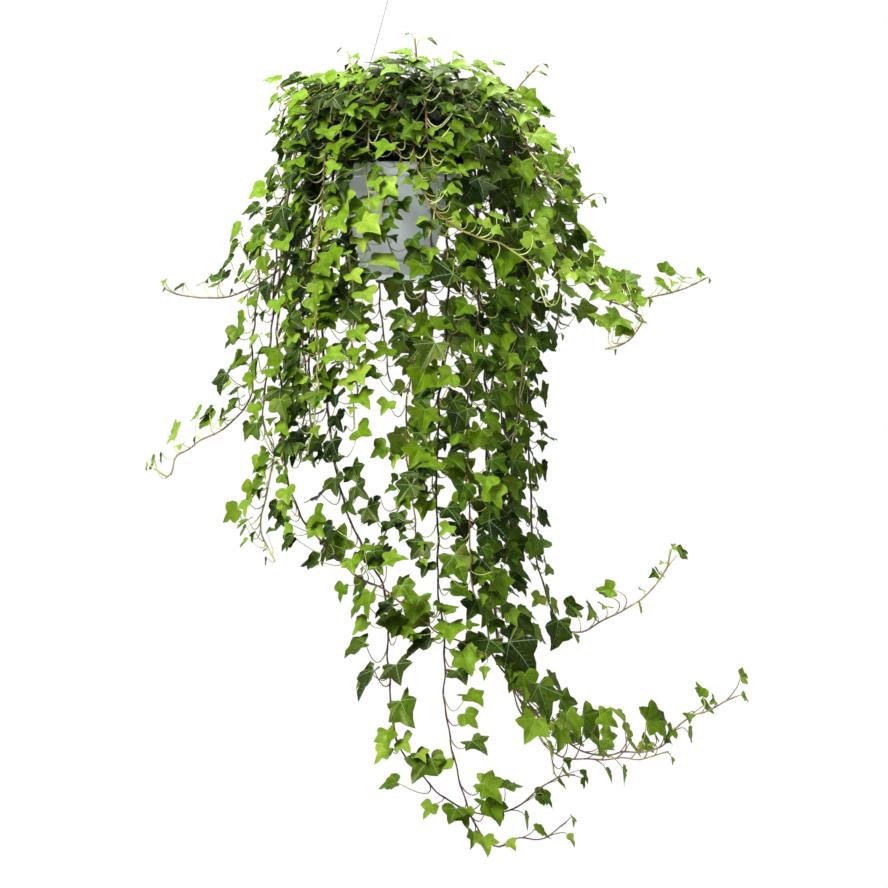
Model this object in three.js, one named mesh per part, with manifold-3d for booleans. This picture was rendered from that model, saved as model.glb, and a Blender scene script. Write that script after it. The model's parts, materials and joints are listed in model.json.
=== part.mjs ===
// Trailing English ivy in a hanging plastic pot with a clip-on saucer.
// Millimetres, +Z up, -Y to the front. The origin is the inner top of the hook,
// where it rests on a rail, and everything hangs below it.
import * as THREE from 'three';
import { mergeVertices } from 'three/addons/utils/BufferGeometryUtils.js';
import Module from 'manifold-3d';

const wasm = await Module();
wasm.setup();

// Pot and saucer
const RIM_TOP = -282;
const RIM_R = 75;
const RIM_BAND = 17;
const WALL = 2;
const WALL_TOP_R = 71;
const FOOT_R = 41;
const FOOT_Z = -417.3;
const FLOOR = 2.5;
const ROUND_SIDES = 24;
const DRAIN_HOLES = 5;
const DRAIN_R = 4;
const DRAIN_RING_R = 24;
const SAUCER_Z = -420;
const SAUCER_FLOOR = 2.4;
const SAUCER_R = 47.5;
const SAUCER_H = 18;

// Lugs on the rim, and the arms of the hanger that hook into them
const ARM_TURNS = [180, 60, -60];
const LUG = { inner: 73, outer: 85, width: 12, top: -285, height: 6 };
const FIT = 0.3;
const ARM = { width: 5, thick: 2.2, r: 79, end: LUG.top - LUG.height - FIT };
const BARB = { half: 2.6, height: 3 };
const ARM_ROUTE = [
  [3, -32], [5, -46], [12, -75], [26, -127], [40, -174], [58, -228], [73, -264], [ARM.r, LUG.top + 2],
  [ARM.r, ARM.end],
];

// Hook: a wire bent round the rail, open at its lower left
const HUB = { r: 6.5, top: -27, bottom: -40 };
const HOOK = { inner: 9, wire: 2.3, from: -90, to: 200 };

// Soil: a plug that fills the pot to just below the rim
const SOIL_TOP = -292;
const SOIL_BOTTOM = -410;

// Stems and leaves
const STEM_R = 1.6;
const STEM_FOOT = -308;
const STEP = 44;
const SHORT_STEP = 30;
const BLADE = 0.7;
const PETIOLE = 0.6;
const FOLD = 0.2;
const DROOP = 0.2;
const CLEAR = 0.45;
const TRIES = 12;
const FIVE_LOBES_FROM = 34;
const THREE_LOBES_FROM = 23;
const ROOT_SHIFT = 0.1;

// Right half of a leaf's outline, for a leaf 1 wide: base, lobes and notches, tip. The blade has its
// full thickness at the base and at the notches, and runs out in a point at each lobe.
const FIVE_LOBES = {
  half: [[0, 0], [0.36, -0.14], [0.26, 0.1], [0.5, 0.36], [0.17, 0.4], [0, 0.82]],
  notches: [2, 4],
  faces: [[0, 1, 2], [0, 2, 4], [2, 3, 4], [0, 4, 5]],
};
const THREE_LOBES = {
  half: [[0, 0], [0.33, -0.1], [0.48, 0.34], [0.16, 0.38], [0, 0.84]],
  notches: [3],
  faces: [[0, 1, 2], [0, 2, 3], [0, 3, 4]],
};
const YOUNG = {
  half: [[0, 0], [0.44, 0.22], [0.15, 0.36], [0, 0.86]],
  notches: [2],
  faces: [[0, 1, 2], [0, 2, 3]],
};

// Routes of the stems. Each starts in the soil at [x, y], and then runs through its points.
const ROUTES = [
  // Left curtain, and the long spray at the far left
  { name: 'stem_left_spray', hole: [-38, -8], large: 30, leaves: 8, route: [[-70, -14, -228],
    [-108, -20, -226], [-132, -26, -268], [-136, -30, -315], [-166, -32, -368], [-169, -33, -415],
    [-176, -35, -496], [-180, -36, -566], [-200, -38, -596], [-246, -40, -628], [-271, -41, -644],
    [-281, -42, -668], [-298, -43, -658]] },
  { name: 'stem_left_cluster', hole: [-36, -17], large: 38, leaves: 9, route: [[-60, -31, -232],
    [-96, -48, -226], [-126, -56, -268], [-134, -58, -320], [-145, -60, -392], [-151, -60, -485],
    [-161, -60, -598], [-148, -60, -638], [-158, -60, -690], [-164, -60, -735], [-148, -62, -772]] },
  { name: 'stem_left_reach', hole: [-55, 10], large: 24, leaves: 4, route: [[-72, 14, -255],
    [-97, 20, -268], [-116, 22, -320], [-132, 16, -380], [-150, 10, -412], [-198, 4, -439],
    [-238, 0, -446], [-268, -2, -441], [-285, -4, -434]] },
  { name: 'stem_left_crossing', hole: [-32, -23], large: 38, leaves: 10, route: [[-56, -42, -224],
    [-88, -64, -222], [-118, -84, -268], [-130, -92, -330], [-140, -96, -450], [-138, -97, -584],
    [-132, -98, -651], [-118, -98, -706], [-84, -98, -751], [-44, -98, -788], [-14, -98, -802],
    [21, -98, -832], [54, -97, -856], [82, -96, -868], [112, -95, -886]] },
  { name: 'stem_left_long', hole: [-42, -37], large: 40, leaves: 12, route: [[-54, -50, -254],
    [-70, -66, -270], [-78, -72, -330], [-88, -74, -440], [-84, -70, -560], [-68, -62, -680],
    [-49, -60, -735], [-26, -60, -781], [-12, -60, -805], [-10, -60, -871], [-8, -60, -909],
    [4, -60, -996], [30, -58, -1030], [54, -56, -1056], [92, -54, -1079], [118, -52, -1083],
    [150, -50, -1076], [191, -48, -1042], [221, -46, -1034]] },
  { name: 'stem_left_curtain', hole: [-25, -31], large: 36, leaves: 7, route: [[-42, -54, -224],
    [-66, -82, -224], [-82, -104, -268], [-86, -112, -330], [-96, -116, -430], [-92, -114, -540],
    [-102, -110, -640]] },
  { name: 'stem_left_inner', hole: [-53, -18], large: 34, leaves: 6, route: [[-70, -24, -254],
    [-93, -30, -272], [-98, -34, -330], [-106, -36, -440], [-108, -40, -560], [-118, -42, -650]] },
  { name: 'stem_left_rear', hole: [-35, 20], large: 38, leaves: 6, route: [[-60, 34, -226],
    [-94, 56, -224], [-114, 66, -268], [-120, 70, -340], [-122, 70, -450], [-112, 62, -580],
    [-98, 54, -650]] },
  // Front of the pot: few leaves, so that the pot shows
  { name: 'stem_front_pale', hole: [-27, -49], large: 24, leaves: 5, route: [[-34, -64, -256],
    [-50, -84, -272], [-64, -94, -318], [-56, -98, -400], [-48, -98, -450], [-54, -94, -530],
    [-48, -90, -610]] },
  { name: 'stem_front_across', hole: [8, -40], large: 26, leaves: 6, route: [[12, -66, -238],
    [20, -104, -252], [30, -128, -304], [44, -140, -344], [74, -142, -367], [104, -140, -380],
    [134, -136, -390], [169, -130, -424], [184, -126, -462]] },
  { name: 'stem_front_low', hole: [20, -52], large: 34, leaves: 8, route: [[26, -68, -256],
    [34, -88, -270], [42, -98, -325], [42, -100, -420], [26, -96, -500], [14, -90, -600],
    [20, -86, -690], [32, -84, -770]] },
  // Dense column below the right half of the pot
  { name: 'stem_column_long', hole: [34, -44], large: 42, leaves: 14, route: [[44, -57, -254],
    [58, -74, -272], [63, -80, -330], [66, -84, -430], [56, -82, -560], [50, -76, -660],
    [52, -72, -730], [54, -70, -792], [56, -70, -846], [61, -70, -905], [60, -70, -946],
    [68, -70, -990], [80, -70, -1040], [97, -70, -1090], [124, -70, -1120], [154, -70, -1110],
    [178, -70, -1109], [211, -70, -1090]] },
  { name: 'stem_column_front', hole: [29, -27], large: 42, leaves: 9, route: [[48, -46, -226],
    [74, -72, -224], [94, -92, -268], [98, -98, -340], [100, -102, -450], [88, -104, -600],
    [90, -102, -720], [96, -100, -810]] },
  { name: 'stem_low_right', hole: [34, -21], large: 42, leaves: 13, route: [[58, -36, -226],
    [88, -56, -224], [112, -68, -268], [118, -72, -340], [124, -74, -450], [116, -70, -600],
    [108, -62, -750], [116, -54, -872], [164, -48, -946], [215, -46, -996], [238, -46, -1010],
    [291, -48, -1006], [321, -50, -1001], [362, -52, -965], [399, -54, -948], [419, -56, -936]] },
  { name: 'stem_column_right', hole: [24, -10], large: 38, leaves: 7, route: [[46, -24, -212],
    [84, -44, -196], [124, -60, -210], [146, -64, -256], [156, -68, -330], [162, -70, -420],
    [156, -68, -530], [144, -64, -630]] },
  { name: 'stem_low_twin', hole: [55, -12], large: 40, leaves: 11, route: [[72, -16, -254],
    [94, -20, -272], [100, -22, -330], [106, -24, -440], [114, -26, -600], [117, -27, -760],
    [128, -26, -870], [160, -24, -958], [198, -22, -1012], [228, -20, -1019], [281, -20, -1020],
    [339, -22, -1011]] },
  { name: 'stem_low_middle', hole: [40, 4], large: 40, leaves: 10, route: [[70, 6, -228],
    [106, 8, -226], [130, 10, -270], [136, 10, -340], [140, 9, -450], [130, 6, -600],
    [122, 2, -740], [125, 0, -840], [137, -2, -906], [164, -2, -972], [189, -3, -1003],
    [198, -4, -1040]] },
  { name: 'stem_low_reach', hole: [25, 8], large: 36, leaves: 10, route: [[50, 14, -206],
    [88, 24, -190], [126, 34, -206], [148, 38, -256], [160, 38, -330], [166, 36, -440],
    [167, 30, -570], [169, 24, -700], [182, 16, -800], [204, 12, -852], [226, 10, -862],
    [256, 8, -850], [300, 4, -826], [329, 0, -798], [341, -2, -776], [343, -2, -758]] },
  { name: 'stem_turning_back', hole: [48, 27], large: 36, leaves: 6, route: [[64, 35, -254],
    [84, 46, -272], [88, 46, -340], [84, 40, -430], [64, 18, -520], [40, -16, -612],
    [12, -36, -686], [-16, -40, -743], [-34, -40, -778]] },
  // Sprays at the right of the pot
  { name: 'spray_right_upper', hole: [30, -4], large: 24, leaves: 5, route: [[58, -10, -200],
    [104, -24, -188], [150, -38, -212], [180, -44, -276], [196, -46, -318], [221, -46, -332],
    [246, -44, -318]] },
  { name: 'spray_right_turned_up', hole: [16, -22], large: 26, leaves: 5, route: [[38, -38, -198],
    [82, -62, -180], [130, -80, -204], [158, -86, -258], [180, -90, -300], [200, -92, -302],
    [208, -92, -268]] },
  { name: 'spray_right_hook', hole: [39, -13], large: 24, leaves: 6, route: [[68, -24, -230],
    [108, -38, -230], [150, -48, -268], [178, -54, -330], [200, -60, -390], [218, -62, -416],
    [254, -66, -444], [282, -68, -460], [302, -68, -474], [290, -68, -496], [259, -66, -512]] },
  { name: 'spray_right_long', hole: [30, 18], large: 28, leaves: 7, route: [[58, 24, -226],
    [100, 24, -214], [150, 20, -246], [186, 16, -306], [212, 12, -380], [232, 10, -422],
    [275, 10, -450], [306, 10, -448], [329, 10, -440], [362, 10, -434], [389, 10, -419]] },
  { name: 'spray_right_rear', hole: [22, 24], large: 30, leaves: 6, route: [[48, 42, -214],
    [92, 60, -200], [140, 66, -222], [176, 62, -290], [194, 56, -370], [206, 52, -430],
    [200, 48, -490]] },
  // Rear of the pot
  { name: 'stem_rear_column', hole: [16, 52], large: 38, leaves: 7, route: [[20, 68, -254],
    [28, 92, -272], [34, 98, -340], [36, 98, -450], [42, 84, -600], [48, 72, -700]] },
  { name: 'stem_rear_right', hole: [32, 33], large: 38, leaves: 7, route: [[52, 58, -226],
    [80, 84, -224], [98, 100, -268], [104, 104, -340], [106, 100, -450], [94, 84, -600],
    [86, 70, -710]] },
  { name: 'stem_rear_middle', hole: [-6, 39], large: 38, leaves: 6, route: [[-12, 68, -226],
    [-18, 106, -224], [-24, 126, -268], [-26, 132, -340], [-22, 128, -440], [-10, 116, -550]] },
  { name: 'stem_rear_left', hole: [-33, 44], large: 38, leaves: 6, route: [[-42, 58, -254],
    [-56, 78, -272], [-62, 84, -340], [-62, 84, -450], [-50, 76, -570]] },
  // Sprigs that stand up out of the mound
  { name: 'sprig_top_right', hole: [4, -19], large: 20, leaves: 4, route: [[12, -26, -222],
    [34, -38, -176], [80, -54, -164], [120, -64, -184], [142, -64, -200], [156, -58, -184],
    [176, -56, -162]] },
  { name: 'sprig_top_middle', hole: [10, -27], large: 22, leaves: 4, route: [[14, -40, -230],
    [26, -50, -180], [26, -56, -150], [24, -60, -130]] },
  { name: 'sprig_top_left', hole: [-26, -1], large: 24, leaves: 4, route: [[-32, -14, -230],
    [-46, -27, -186], [-56, -34, -156], [-60, -38, -142]] },
  { name: 'sprig_far_left', hole: [-28, 9], large: 24, leaves: 5, route: [[-50, 12, -214],
    [-92, 10, -192], [-124, -4, -196], [-142, -10, -184]] },
];

// Stems of the mound: they rise from the middle of the pot and arch over to all sides.
// Each has the direction it takes in degrees, how far out it starts and ends, and how far it hangs.
const MOUND = [
  { turn: 254, start: 8, reach: 115, fall: 80 }, { turn: 169, start: 10, reach: 135, fall: 55 },
  { turn: 199, start: 18, reach: 150, fall: 35 }, { turn: 220, start: 11, reach: 110, fall: 15 },
  { turn: 238, start: 19, reach: 125, fall: 75 }, { turn: 268, start: 15, reach: 105, fall: 60 },
  { turn: 288, start: 11, reach: 130, fall: 60 }, { turn: 312, start: 17, reach: 140, fall: 45 },
  { turn: 3, start: 15, reach: 170, fall: 45 }, { turn: 38, start: 17, reach: 150, fall: 50 },
  { turn: 85, start: 16, reach: 130, fall: 80 }, { turn: 115, start: 9, reach: 140, fall: 70 },
  { turn: 140, start: 18, reach: 125, fall: 60 },
];
const MOUND_TOP = -186;
const MOUND_LEAVES = { large: 40, leaves: 5 };

function draws(seed) {
  let state = seed >>> 0;
  return () => {
    state = (state + 0x6d2b79f5) >>> 0;
    let t = Math.imul(state ^ (state >>> 15), state | 1);
    t = (t + Math.imul(t ^ (t >>> 7), t | 61)) ^ t;
    return ((t ^ (t >>> 14)) >>> 0) / 4294967296;
  };
}

function point(x, y, z) {
  return new THREE.Vector3(x, y, z);
}

function solidOf(geometry) {
  const copy = geometry.clone();
  copy.deleteAttribute('normal');
  copy.deleteAttribute('uv');
  const merged = mergeVertices(copy, 1e-4);
  const mesh = new wasm.Mesh({
    numProp: 3,
    vertProperties: new Float32Array(merged.attributes.position.array),
    triVerts: new Uint32Array(merged.index.array),
  });
  return new wasm.Manifold(mesh);
}

function meshOf(name, solid, material) {
  const { vertProperties, triVerts } = solid.getMesh();
  const geometry = new THREE.BufferGeometry();
  geometry.setAttribute('position', new THREE.BufferAttribute(new Float32Array(vertProperties), 3));
  geometry.setIndex(new THREE.BufferAttribute(new Uint32Array(triVerts), 1));
  const faceted = geometry.toNonIndexed();
  faceted.computeVertexNormals();
  const mesh = new THREE.Mesh(faceted, material);
  mesh.name = name;
  return mesh;
}

// A closed profile of [r, z] points turned about the upright axis
function turned(profile) {
  const points = profile.map(([r, z]) => new THREE.Vector2(r, z));
  const geometry = new THREE.LatheGeometry(points, ROUND_SIDES);
  return geometry.rotateX(Math.PI / 2);
}

function upright(r, bottom, top, sides) {
  const geometry = new THREE.CylinderGeometry(r, r, top - bottom, sides);
  return geometry.rotateX(Math.PI / 2).translate(0, 0, (top + bottom) / 2);
}

function block(from, to) {
  const size = to.clone().sub(from);
  const middle = from.clone().add(to).multiplyScalar(0.5);
  return new THREE.BoxGeometry(size.x, size.y, size.z).translate(middle.x, middle.y, middle.z);
}

// A regular polygon as the section of a wire or stem
function roundSection(r, sides) {
  const corners = [];
  for (let i = 0; i < sides; i++) {
    const turn = (i * 2 * Math.PI) / sides;
    corners.push(new THREE.Vector2(r * Math.cos(turn), r * Math.sin(turn)));
  }
  return new THREE.Shape(corners);
}

// Pot: tapered wall, rolled rim band, drainage holes and three slotted lugs
function potSolid() {
  const bandBottom = RIM_TOP - RIM_BAND;
  const inside = FOOT_Z + FLOOR;
  let pot = solidOf(turned([
    [0, FOOT_Z], [FOOT_R - 1, FOOT_Z], [FOOT_R, FOOT_Z + 1], [WALL_TOP_R, bandBottom],
    [RIM_R, bandBottom], [RIM_R + 0.5, RIM_TOP - 1.5], [RIM_R - 0.5, RIM_TOP], [RIM_R - 3, RIM_TOP],
    [WALL_TOP_R - WALL, bandBottom + 4], [FOOT_R - WALL, inside + 1], [FOOT_R - WALL - 1, inside],
    [0, inside],
  ]));
  for (let i = 0; i < DRAIN_HOLES; i++) {
    const hole = upright(DRAIN_R, FOOT_Z - 1, inside + 1, 8).translate(DRAIN_RING_R, 0, 0);
    pot = pot.subtract(solidOf(hole.rotateZ((i * 2 * Math.PI) / DRAIN_HOLES)));
  }
  for (const turn of ARM_TURNS) {
    const lug = block(
      point(LUG.inner, -LUG.width / 2, LUG.top - LUG.height), point(LUG.outer, LUG.width / 2, LUG.top));
    const half = { r: ARM.thick / 2 + FIT, w: ARM.width / 2 + FIT };
    const slot = block(
      point(ARM.r - half.r, -half.w, LUG.top - LUG.height - 1), point(ARM.r + half.r, half.w, LUG.top + 1));
    const angle = THREE.MathUtils.degToRad(turn);
    pot = pot.add(solidOf(lug.rotateZ(angle))).subtract(solidOf(slot.rotateZ(angle)));
  }
  return pot;
}

// Saucer: a shallow dish that stands out round the pot's foot
function saucerSolid() {
  const inside = SAUCER_Z + SAUCER_FLOOR;
  return solidOf(turned([
    [0, SAUCER_Z], [SAUCER_R - 3, SAUCER_Z], [SAUCER_R - 1.5, SAUCER_Z + 2],
    [SAUCER_R, SAUCER_Z + SAUCER_H], [SAUCER_R - WALL, SAUCER_Z + SAUCER_H],
    [SAUCER_R - 4.2, inside], [0, inside],
  ]));
}

// Side view of an arm: a strip of even thickness along its route, with a barb at its foot
function armOutline() {
  const middle = ARM_ROUTE.map(([r, z]) => new THREE.Vector2(r, z));
  const sides = [[], []];
  middle.forEach((here, i) => {
    const along = middle[Math.min(i + 1, middle.length - 1)].clone().sub(middle[Math.max(i - 1, 0)]);
    const across = new THREE.Vector2(along.y, -along.x).normalize().multiplyScalar(ARM.thick / 2);
    sides[0].push(here.clone().add(across));
    sides[1].push(here.clone().sub(across));
  });
  const [r, z] = ARM_ROUTE[ARM_ROUTE.length - 1];
  const barb = [[-1, 0], [-0.7, -1], [0.7, -1], [1, 0]]
    .map(([x, y]) => new THREE.Vector2(r + x * BARB.half, z + y * BARB.height));
  return new THREE.Shape([...sides[0], ...barb, ...sides[1].reverse()]);
}

// Hanger: three flat arms with barbs, a hub and the hook, moulded in one piece
function hangerSolid() {
  let hanger = solidOf(upright(HUB.r, HUB.bottom, HUB.top, 12));
  for (const turn of ARM_TURNS) {
    const arm = new THREE.ExtrudeGeometry(armOutline(), { depth: ARM.width, bevelEnabled: false });
    arm.rotateX(Math.PI / 2).translate(0, ARM.width / 2, 0).rotateZ(THREE.MathUtils.degToRad(turn));
    hanger = hanger.add(solidOf(arm));
  }
  const bend = HOOK.inner + HOOK.wire;
  const route = [point(0, 0, HUB.top - 4), point(0, 0, -HOOK.inner - bend - 1)];
  for (let angle = HOOK.from + 24; angle <= HOOK.to; angle += 14) {
    const turn = THREE.MathUtils.degToRad(angle);
    route.push(point(bend * Math.cos(turn), 0, -HOOK.inner + bend * Math.sin(turn)));
  }
  const curve = new THREE.CatmullRomCurve3(route);
  const hook = new THREE.ExtrudeGeometry(roundSection(HOOK.wire, 6), { steps: 18, extrudePath: curve });
  return hanger.add(solidOf(hook));
}

// Soil: a tapered plug with a plain three-sided hole round the foot of each stem
function soilSolid(stems) {
  const taper = (WALL_TOP_R - FOOT_R) / (RIM_TOP - RIM_BAND - FOOT_Z - 1);
  const wallAt = (z) => WALL_TOP_R - WALL - taper * (RIM_TOP - RIM_BAND + 4 - z);
  const shrink = 2 * FIT;
  let soil = solidOf(turned([
    [0, SOIL_BOTTOM], [wallAt(SOIL_BOTTOM) - shrink - 1, SOIL_BOTTOM],
    [wallAt(SOIL_TOP) - shrink, SOIL_TOP], [0, SOIL_TOP],
  ]));
  const holeR = (STEM_R + FIT) * 2;
  for (const { rings } of stems) {
    const along = rings[1].clone().sub(rings[0]).normalize();
    const hole = new THREE.CylinderGeometry(holeR, holeR, 40, 3).translate(0, 19, 0);
    hole.applyQuaternion(new THREE.Quaternion().setFromUnitVectors(point(0, 1, 0), along));
    hole.translate(rings[0].x, rings[0].y, rings[0].z);
    soil = soil.subtract(solidOf(hole));
  }
  return soil;
}

// The arching stems of the mound, as routes like those above
function moundRoutes() {
  return MOUND.map(({ turn, start, reach, fall }, i) => {
    const angle = THREE.MathUtils.degToRad(turn);
    const at = (r, z) => [r * Math.cos(angle), r * Math.sin(angle), MOUND_TOP + z];
    return {
      name: `stem_mound_${String(i + 1).padStart(2, '0')}`,
      hole: at(start, 0).slice(0, 2),
      ...MOUND_LEAVES,
      route: [at(start + 6, -38), at(0.42 * reach, 0), at(0.7 * reach, -4), at(0.93 * reach, -8 - 0.4 * fall),
        at(reach, -12 - fall)],
    };
  });
}

// The stem's centre line, and the places along it where its sides bend and leaves can grow
function stemOf({ name, hole, route, large, leaves }, index) {
  const [x, y] = hole;
  const points = [point(x, y, STEM_FOOT), point(x * 1.02, y * 1.02, STEM_FOOT + 42)];
  for (const [px, py, pz] of route) points.push(point(px, py, pz));
  const curve = new THREE.CatmullRomCurve3(points);
  const length = curve.getLength();
  const steps = Math.round(length / (length > 450 ? STEP : SHORT_STEP));
  const rings = curve.getSpacedPoints(steps);
  const section = roundSection(STEM_R, 3);
  const solid = solidOf(new THREE.ExtrudeGeometry(section, { steps, extrudePath: curve }));
  return { name, index, length, rings, large, leaves, solid };
}

// A leaf and its petiole as one closed body. grow makes a fatter copy that tests the room round it,
// and whose petiole starts clear of the leaf's own stem.
function leafGeometry(leaf, grow = 0) {
  const { root, base, apex, normal, size, lobes } = leaf;
  const side = apex.clone().cross(normal);
  const { half, notches, faces } = lobes;
  const wide = size + 3 * grow;
  const from = base.clone().addScaledVector(normal, grow).addScaledVector(apex, -0.5 * grow);
  const thick = BLADE + 2 * grow;
  const arm = PETIOLE + grow;
  const last = half.length - 1;
  const at = (x, y, drop) => from.clone().addScaledVector(side, x * wide).addScaledVector(apex, y * wide)
    .addScaledVector(normal, (FOLD * Math.abs(x) - DROOP * y * y) * wide - drop);
  const right = half.slice(1, last).map(([x, y], i) => ({ x, y, full: notches.includes(i + 1) }));
  const left = right.map(({ x, y, full }) => ({ x: -x, y, full })).reverse();
  const rim = [...right, { x: 0, y: half[last][1], full: false }, ...left];
  const path = base.clone().sub(root);
  const along = path.clone().normalize();
  const bend = along.clone().add(apex).normalize();
  const under = side.clone().cross(bend).normalize();
  const start = root.clone().addScaledVector(along, grow > 0 ? 3.5 : 0).sub(from);
  const joint = [
    from.clone().addScaledVector(side, arm),
    from.clone().addScaledVector(side, -arm),
    from.clone().addScaledVector(under, -thick / under.dot(normal)),
  ];
  const middle = joint[0].clone().add(joint[1]).add(joint[2]).divideScalar(3).sub(from);
  const points = [
    ...rim.map(({ x, y, full }) => at(x, y, full ? 0 : thick / 2)),
    ...rim.map(({ x, y }) => at(x, y, thick)),
    ...joint,
    ...joint.map((corner) => corner.clone().add(start).sub(middle)),
  ];
  const n = rim.length;
  const [rightTop, leftTop, below, rightRoot, leftRoot, belowRoot] = [0, 1, 2, 3, 4, 5].map((i) => 2 * n + i);
  const onRight = (i, low) => (i === 0 ? (low ? below : rightTop) : i - 1 + (low ? n : 0));
  const onLeft = (i, low) => (i === 0 ? (low ? below : leftTop) : n - i + (low ? n : 0));
  const index = [];
  const face = (...corners) => {
    const used = corners.map((i) => (i >= n && i < 2 * n && !rim[i - n].full ? i - n : i));
    if (new Set(used).size === 3) index.push(...used);
  };
  face(rightTop, last - 1, leftTop);
  for (const [a, b, c] of faces) {
    face(onRight(a, false), onRight(b, false), onRight(c, false));
    face(onRight(a, true), onRight(c, true), onRight(b, true));
    face(onLeft(a, false), onLeft(c, false), onLeft(b, false));
    face(onLeft(a, true), onLeft(b, true), onLeft(c, true));
  }
  face(rightTop, below, n);
  face(rightTop, n, 0);
  for (let i = 0; i < n - 1; i++) {
    face(i, n + i, n + i + 1);
    face(i, n + i + 1, i + 1);
  }
  face(n - 1, 2 * n - 1, below);
  face(n - 1, below, leftTop);
  face(rightTop, leftTop, leftRoot);
  face(rightTop, leftRoot, rightRoot);
  face(below, rightTop, rightRoot);
  face(below, rightRoot, belowRoot);
  face(leftTop, below, belowRoot);
  face(leftTop, belowRoot, leftRoot);
  face(rightRoot, leftRoot, belowRoot);
  const geometry = new THREE.BufferGeometry();
  geometry.setAttribute('position', new THREE.Float32BufferAttribute(points.flatMap((p) => p.toArray()), 3));
  geometry.setIndex(index);
  return geometry;
}

// One draw of a leaf at a ring of its stem: it stands off the stem on its petiole, faces out and up,
// and its tip hangs. Leaves get smaller towards the stem's tip.
function leafAt(stem, ring, attempt) {
  const random = draws(stem.index * 7919 + ring * 131 + attempt * 17 + 5);
  const spin = () => 2 * random() - 1;
  const before = stem.rings[ring - 1];
  const after = stem.rings[Math.min(ring + 1, stem.rings.length - 1)];
  const root = stem.rings[ring].clone().lerp(before, ROOT_SHIFT);
  const along = after.clone().sub(before).normalize();
  const share = ring / (stem.rings.length - 1);
  const centreX = 14 + 60 * Math.min(1, Math.max(0, (-420 - root.z) / 500));
  const out = point(root.x - centreX, root.y, 0).normalize();
  const hang = Math.min(1, Math.max(0, (-200 - root.z) / 100));
  const size = stem.large * (share < 0.6 ? 1 : 1 - 1.25 * (share - 0.6)) * (0.8 + 0.28 * random())
    * (attempt < 6 ? 1 : 0.8);
  const sideways = along.clone().cross(out).normalize().multiplyScalar(ring % 2 ? 1 : -1);
  const reach = size * (0.42 + 0.4 * random()) + 4;
  const arm = sideways.multiplyScalar(0.8 + 0.3 * spin()).addScaledVector(out, 0.65 + 0.5 * spin())
    .add(point(0.3 * spin(), 0.3 * spin(), 0.55 - 0.35 * hang + 0.3 * spin()))
    .addScaledVector(along, 0.25).normalize();
  const normal = out.clone().multiplyScalar(0.55 + 0.35 * hang).add(point(0, 0, 0.85 - 0.4 * hang))
    .add(point(0.4 * spin(), 0.4 * spin(), 0.3 * spin())).normalize();
  const fall = arm.clone().multiplyScalar(0.75).add(point(0.35 * spin(), 0.35 * spin(), -0.75));
  const apex = fall.addScaledVector(normal, -fall.dot(normal)).normalize();
  const base = root.clone().addScaledVector(arm, reach);
  const lobes = size > FIVE_LOBES_FROM ? FIVE_LOBES : size > THREE_LOBES_FROM ? THREE_LOBES : YOUNG;
  return { root, base, apex, normal, size, lobes, fits: apex.dot(arm) > 0.1 };
}

function boxesMeet(a, b) {
  return [0, 1, 2].every((i) => a.min[i] < b.max[i] && b.min[i] < a.max[i]);
}

function isFree(solid, taken) {
  const box = solid.boundingBox();
  return taken.every((other) => !boxesMeet(box, other.box) || solid.intersect(other.solid).isEmpty());
}

function takenBy(solid) {
  return { solid, box: solid.boundingBox() };
}

// Leaves are shared out evenly along the part of a stem that is out of the pot
function growLeaves(stem, taken) {
  const first = 2;
  const last = stem.rings.length - 1;
  const every = Math.max(1, (last - first) / stem.leaves);
  let grown = stem.solid;
  for (let place = last; place >= first; place -= every) {
    const ring = Math.round(place);
    for (let attempt = 0; attempt < TRIES; attempt++) {
      const leaf = leafAt(stem, ring, attempt);
      if (!leaf.fits || !isFree(solidOf(leafGeometry(leaf, CLEAR)), taken)) continue;
      const solid = solidOf(leafGeometry(leaf));
      taken.push(takenBy(solid));
      grown = grown.add(solid);
      break;
    }
  }
  return grown;
}

const plastic = new THREE.MeshStandardMaterial({ color: 0xbfc9cf, roughness: 0.45, metalness: 0 });
const white = new THREE.MeshStandardMaterial({ color: 0xe9ecec, roughness: 0.4, metalness: 0 });
const peat = new THREE.MeshStandardMaterial({ color: 0x2e2118, roughness: 1, metalness: 0 });
const darkLeaf = new THREE.MeshStandardMaterial({ color: 0x3f5c26, roughness: 0.5, metalness: 0 });
const youngLeaf = new THREE.MeshStandardMaterial({ color: 0x7f9c3c, roughness: 0.55, metalness: 0 });

const stems = [...ROUTES, ...moundRoutes()].map(stemOf);
const pot = potSolid();
const saucer = saucerSolid();
const hanger = hangerSolid();
const soil = soilSolid(stems);

// Room kept free of leaves: under the saucer, and the open space between the hanger's arms
const underSaucer = solidOf(upright(SAUCER_R + 1, SAUCER_Z - 4, SAUCER_Z, 16));
const betweenArms = solidOf(block(point(-9, -60, -132), point(9, 30, -20)));
const taken = [pot, saucer, hanger, soil, underSaucer, betweenArms].map(takenBy);
for (const stem of stems) taken.push(takenBy(stem.solid));

const plant = new THREE.Group();
for (const stem of stems) {
  const grown = growLeaves(stem, taken);
  plant.add(meshOf(stem.name, grown, stem.large > 30 ? darkLeaf : youngLeaf));
}

const holder = new THREE.Group();
holder.add(meshOf('pot', pot, plastic));
holder.add(meshOf('saucer', saucer, plastic));
holder.add(meshOf('hanger', hanger, white));

const hangingIvy = new THREE.Group();
hangingIvy.add(holder, meshOf('soil', soil, peat), plant);

export default hangingIvy;
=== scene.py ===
import json
import math

import bmesh
import bpy
import numpy as np
from mathutils import Matrix, Vector, kdtree, noise
from mathutils.bvhtree import BVHTree

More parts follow.
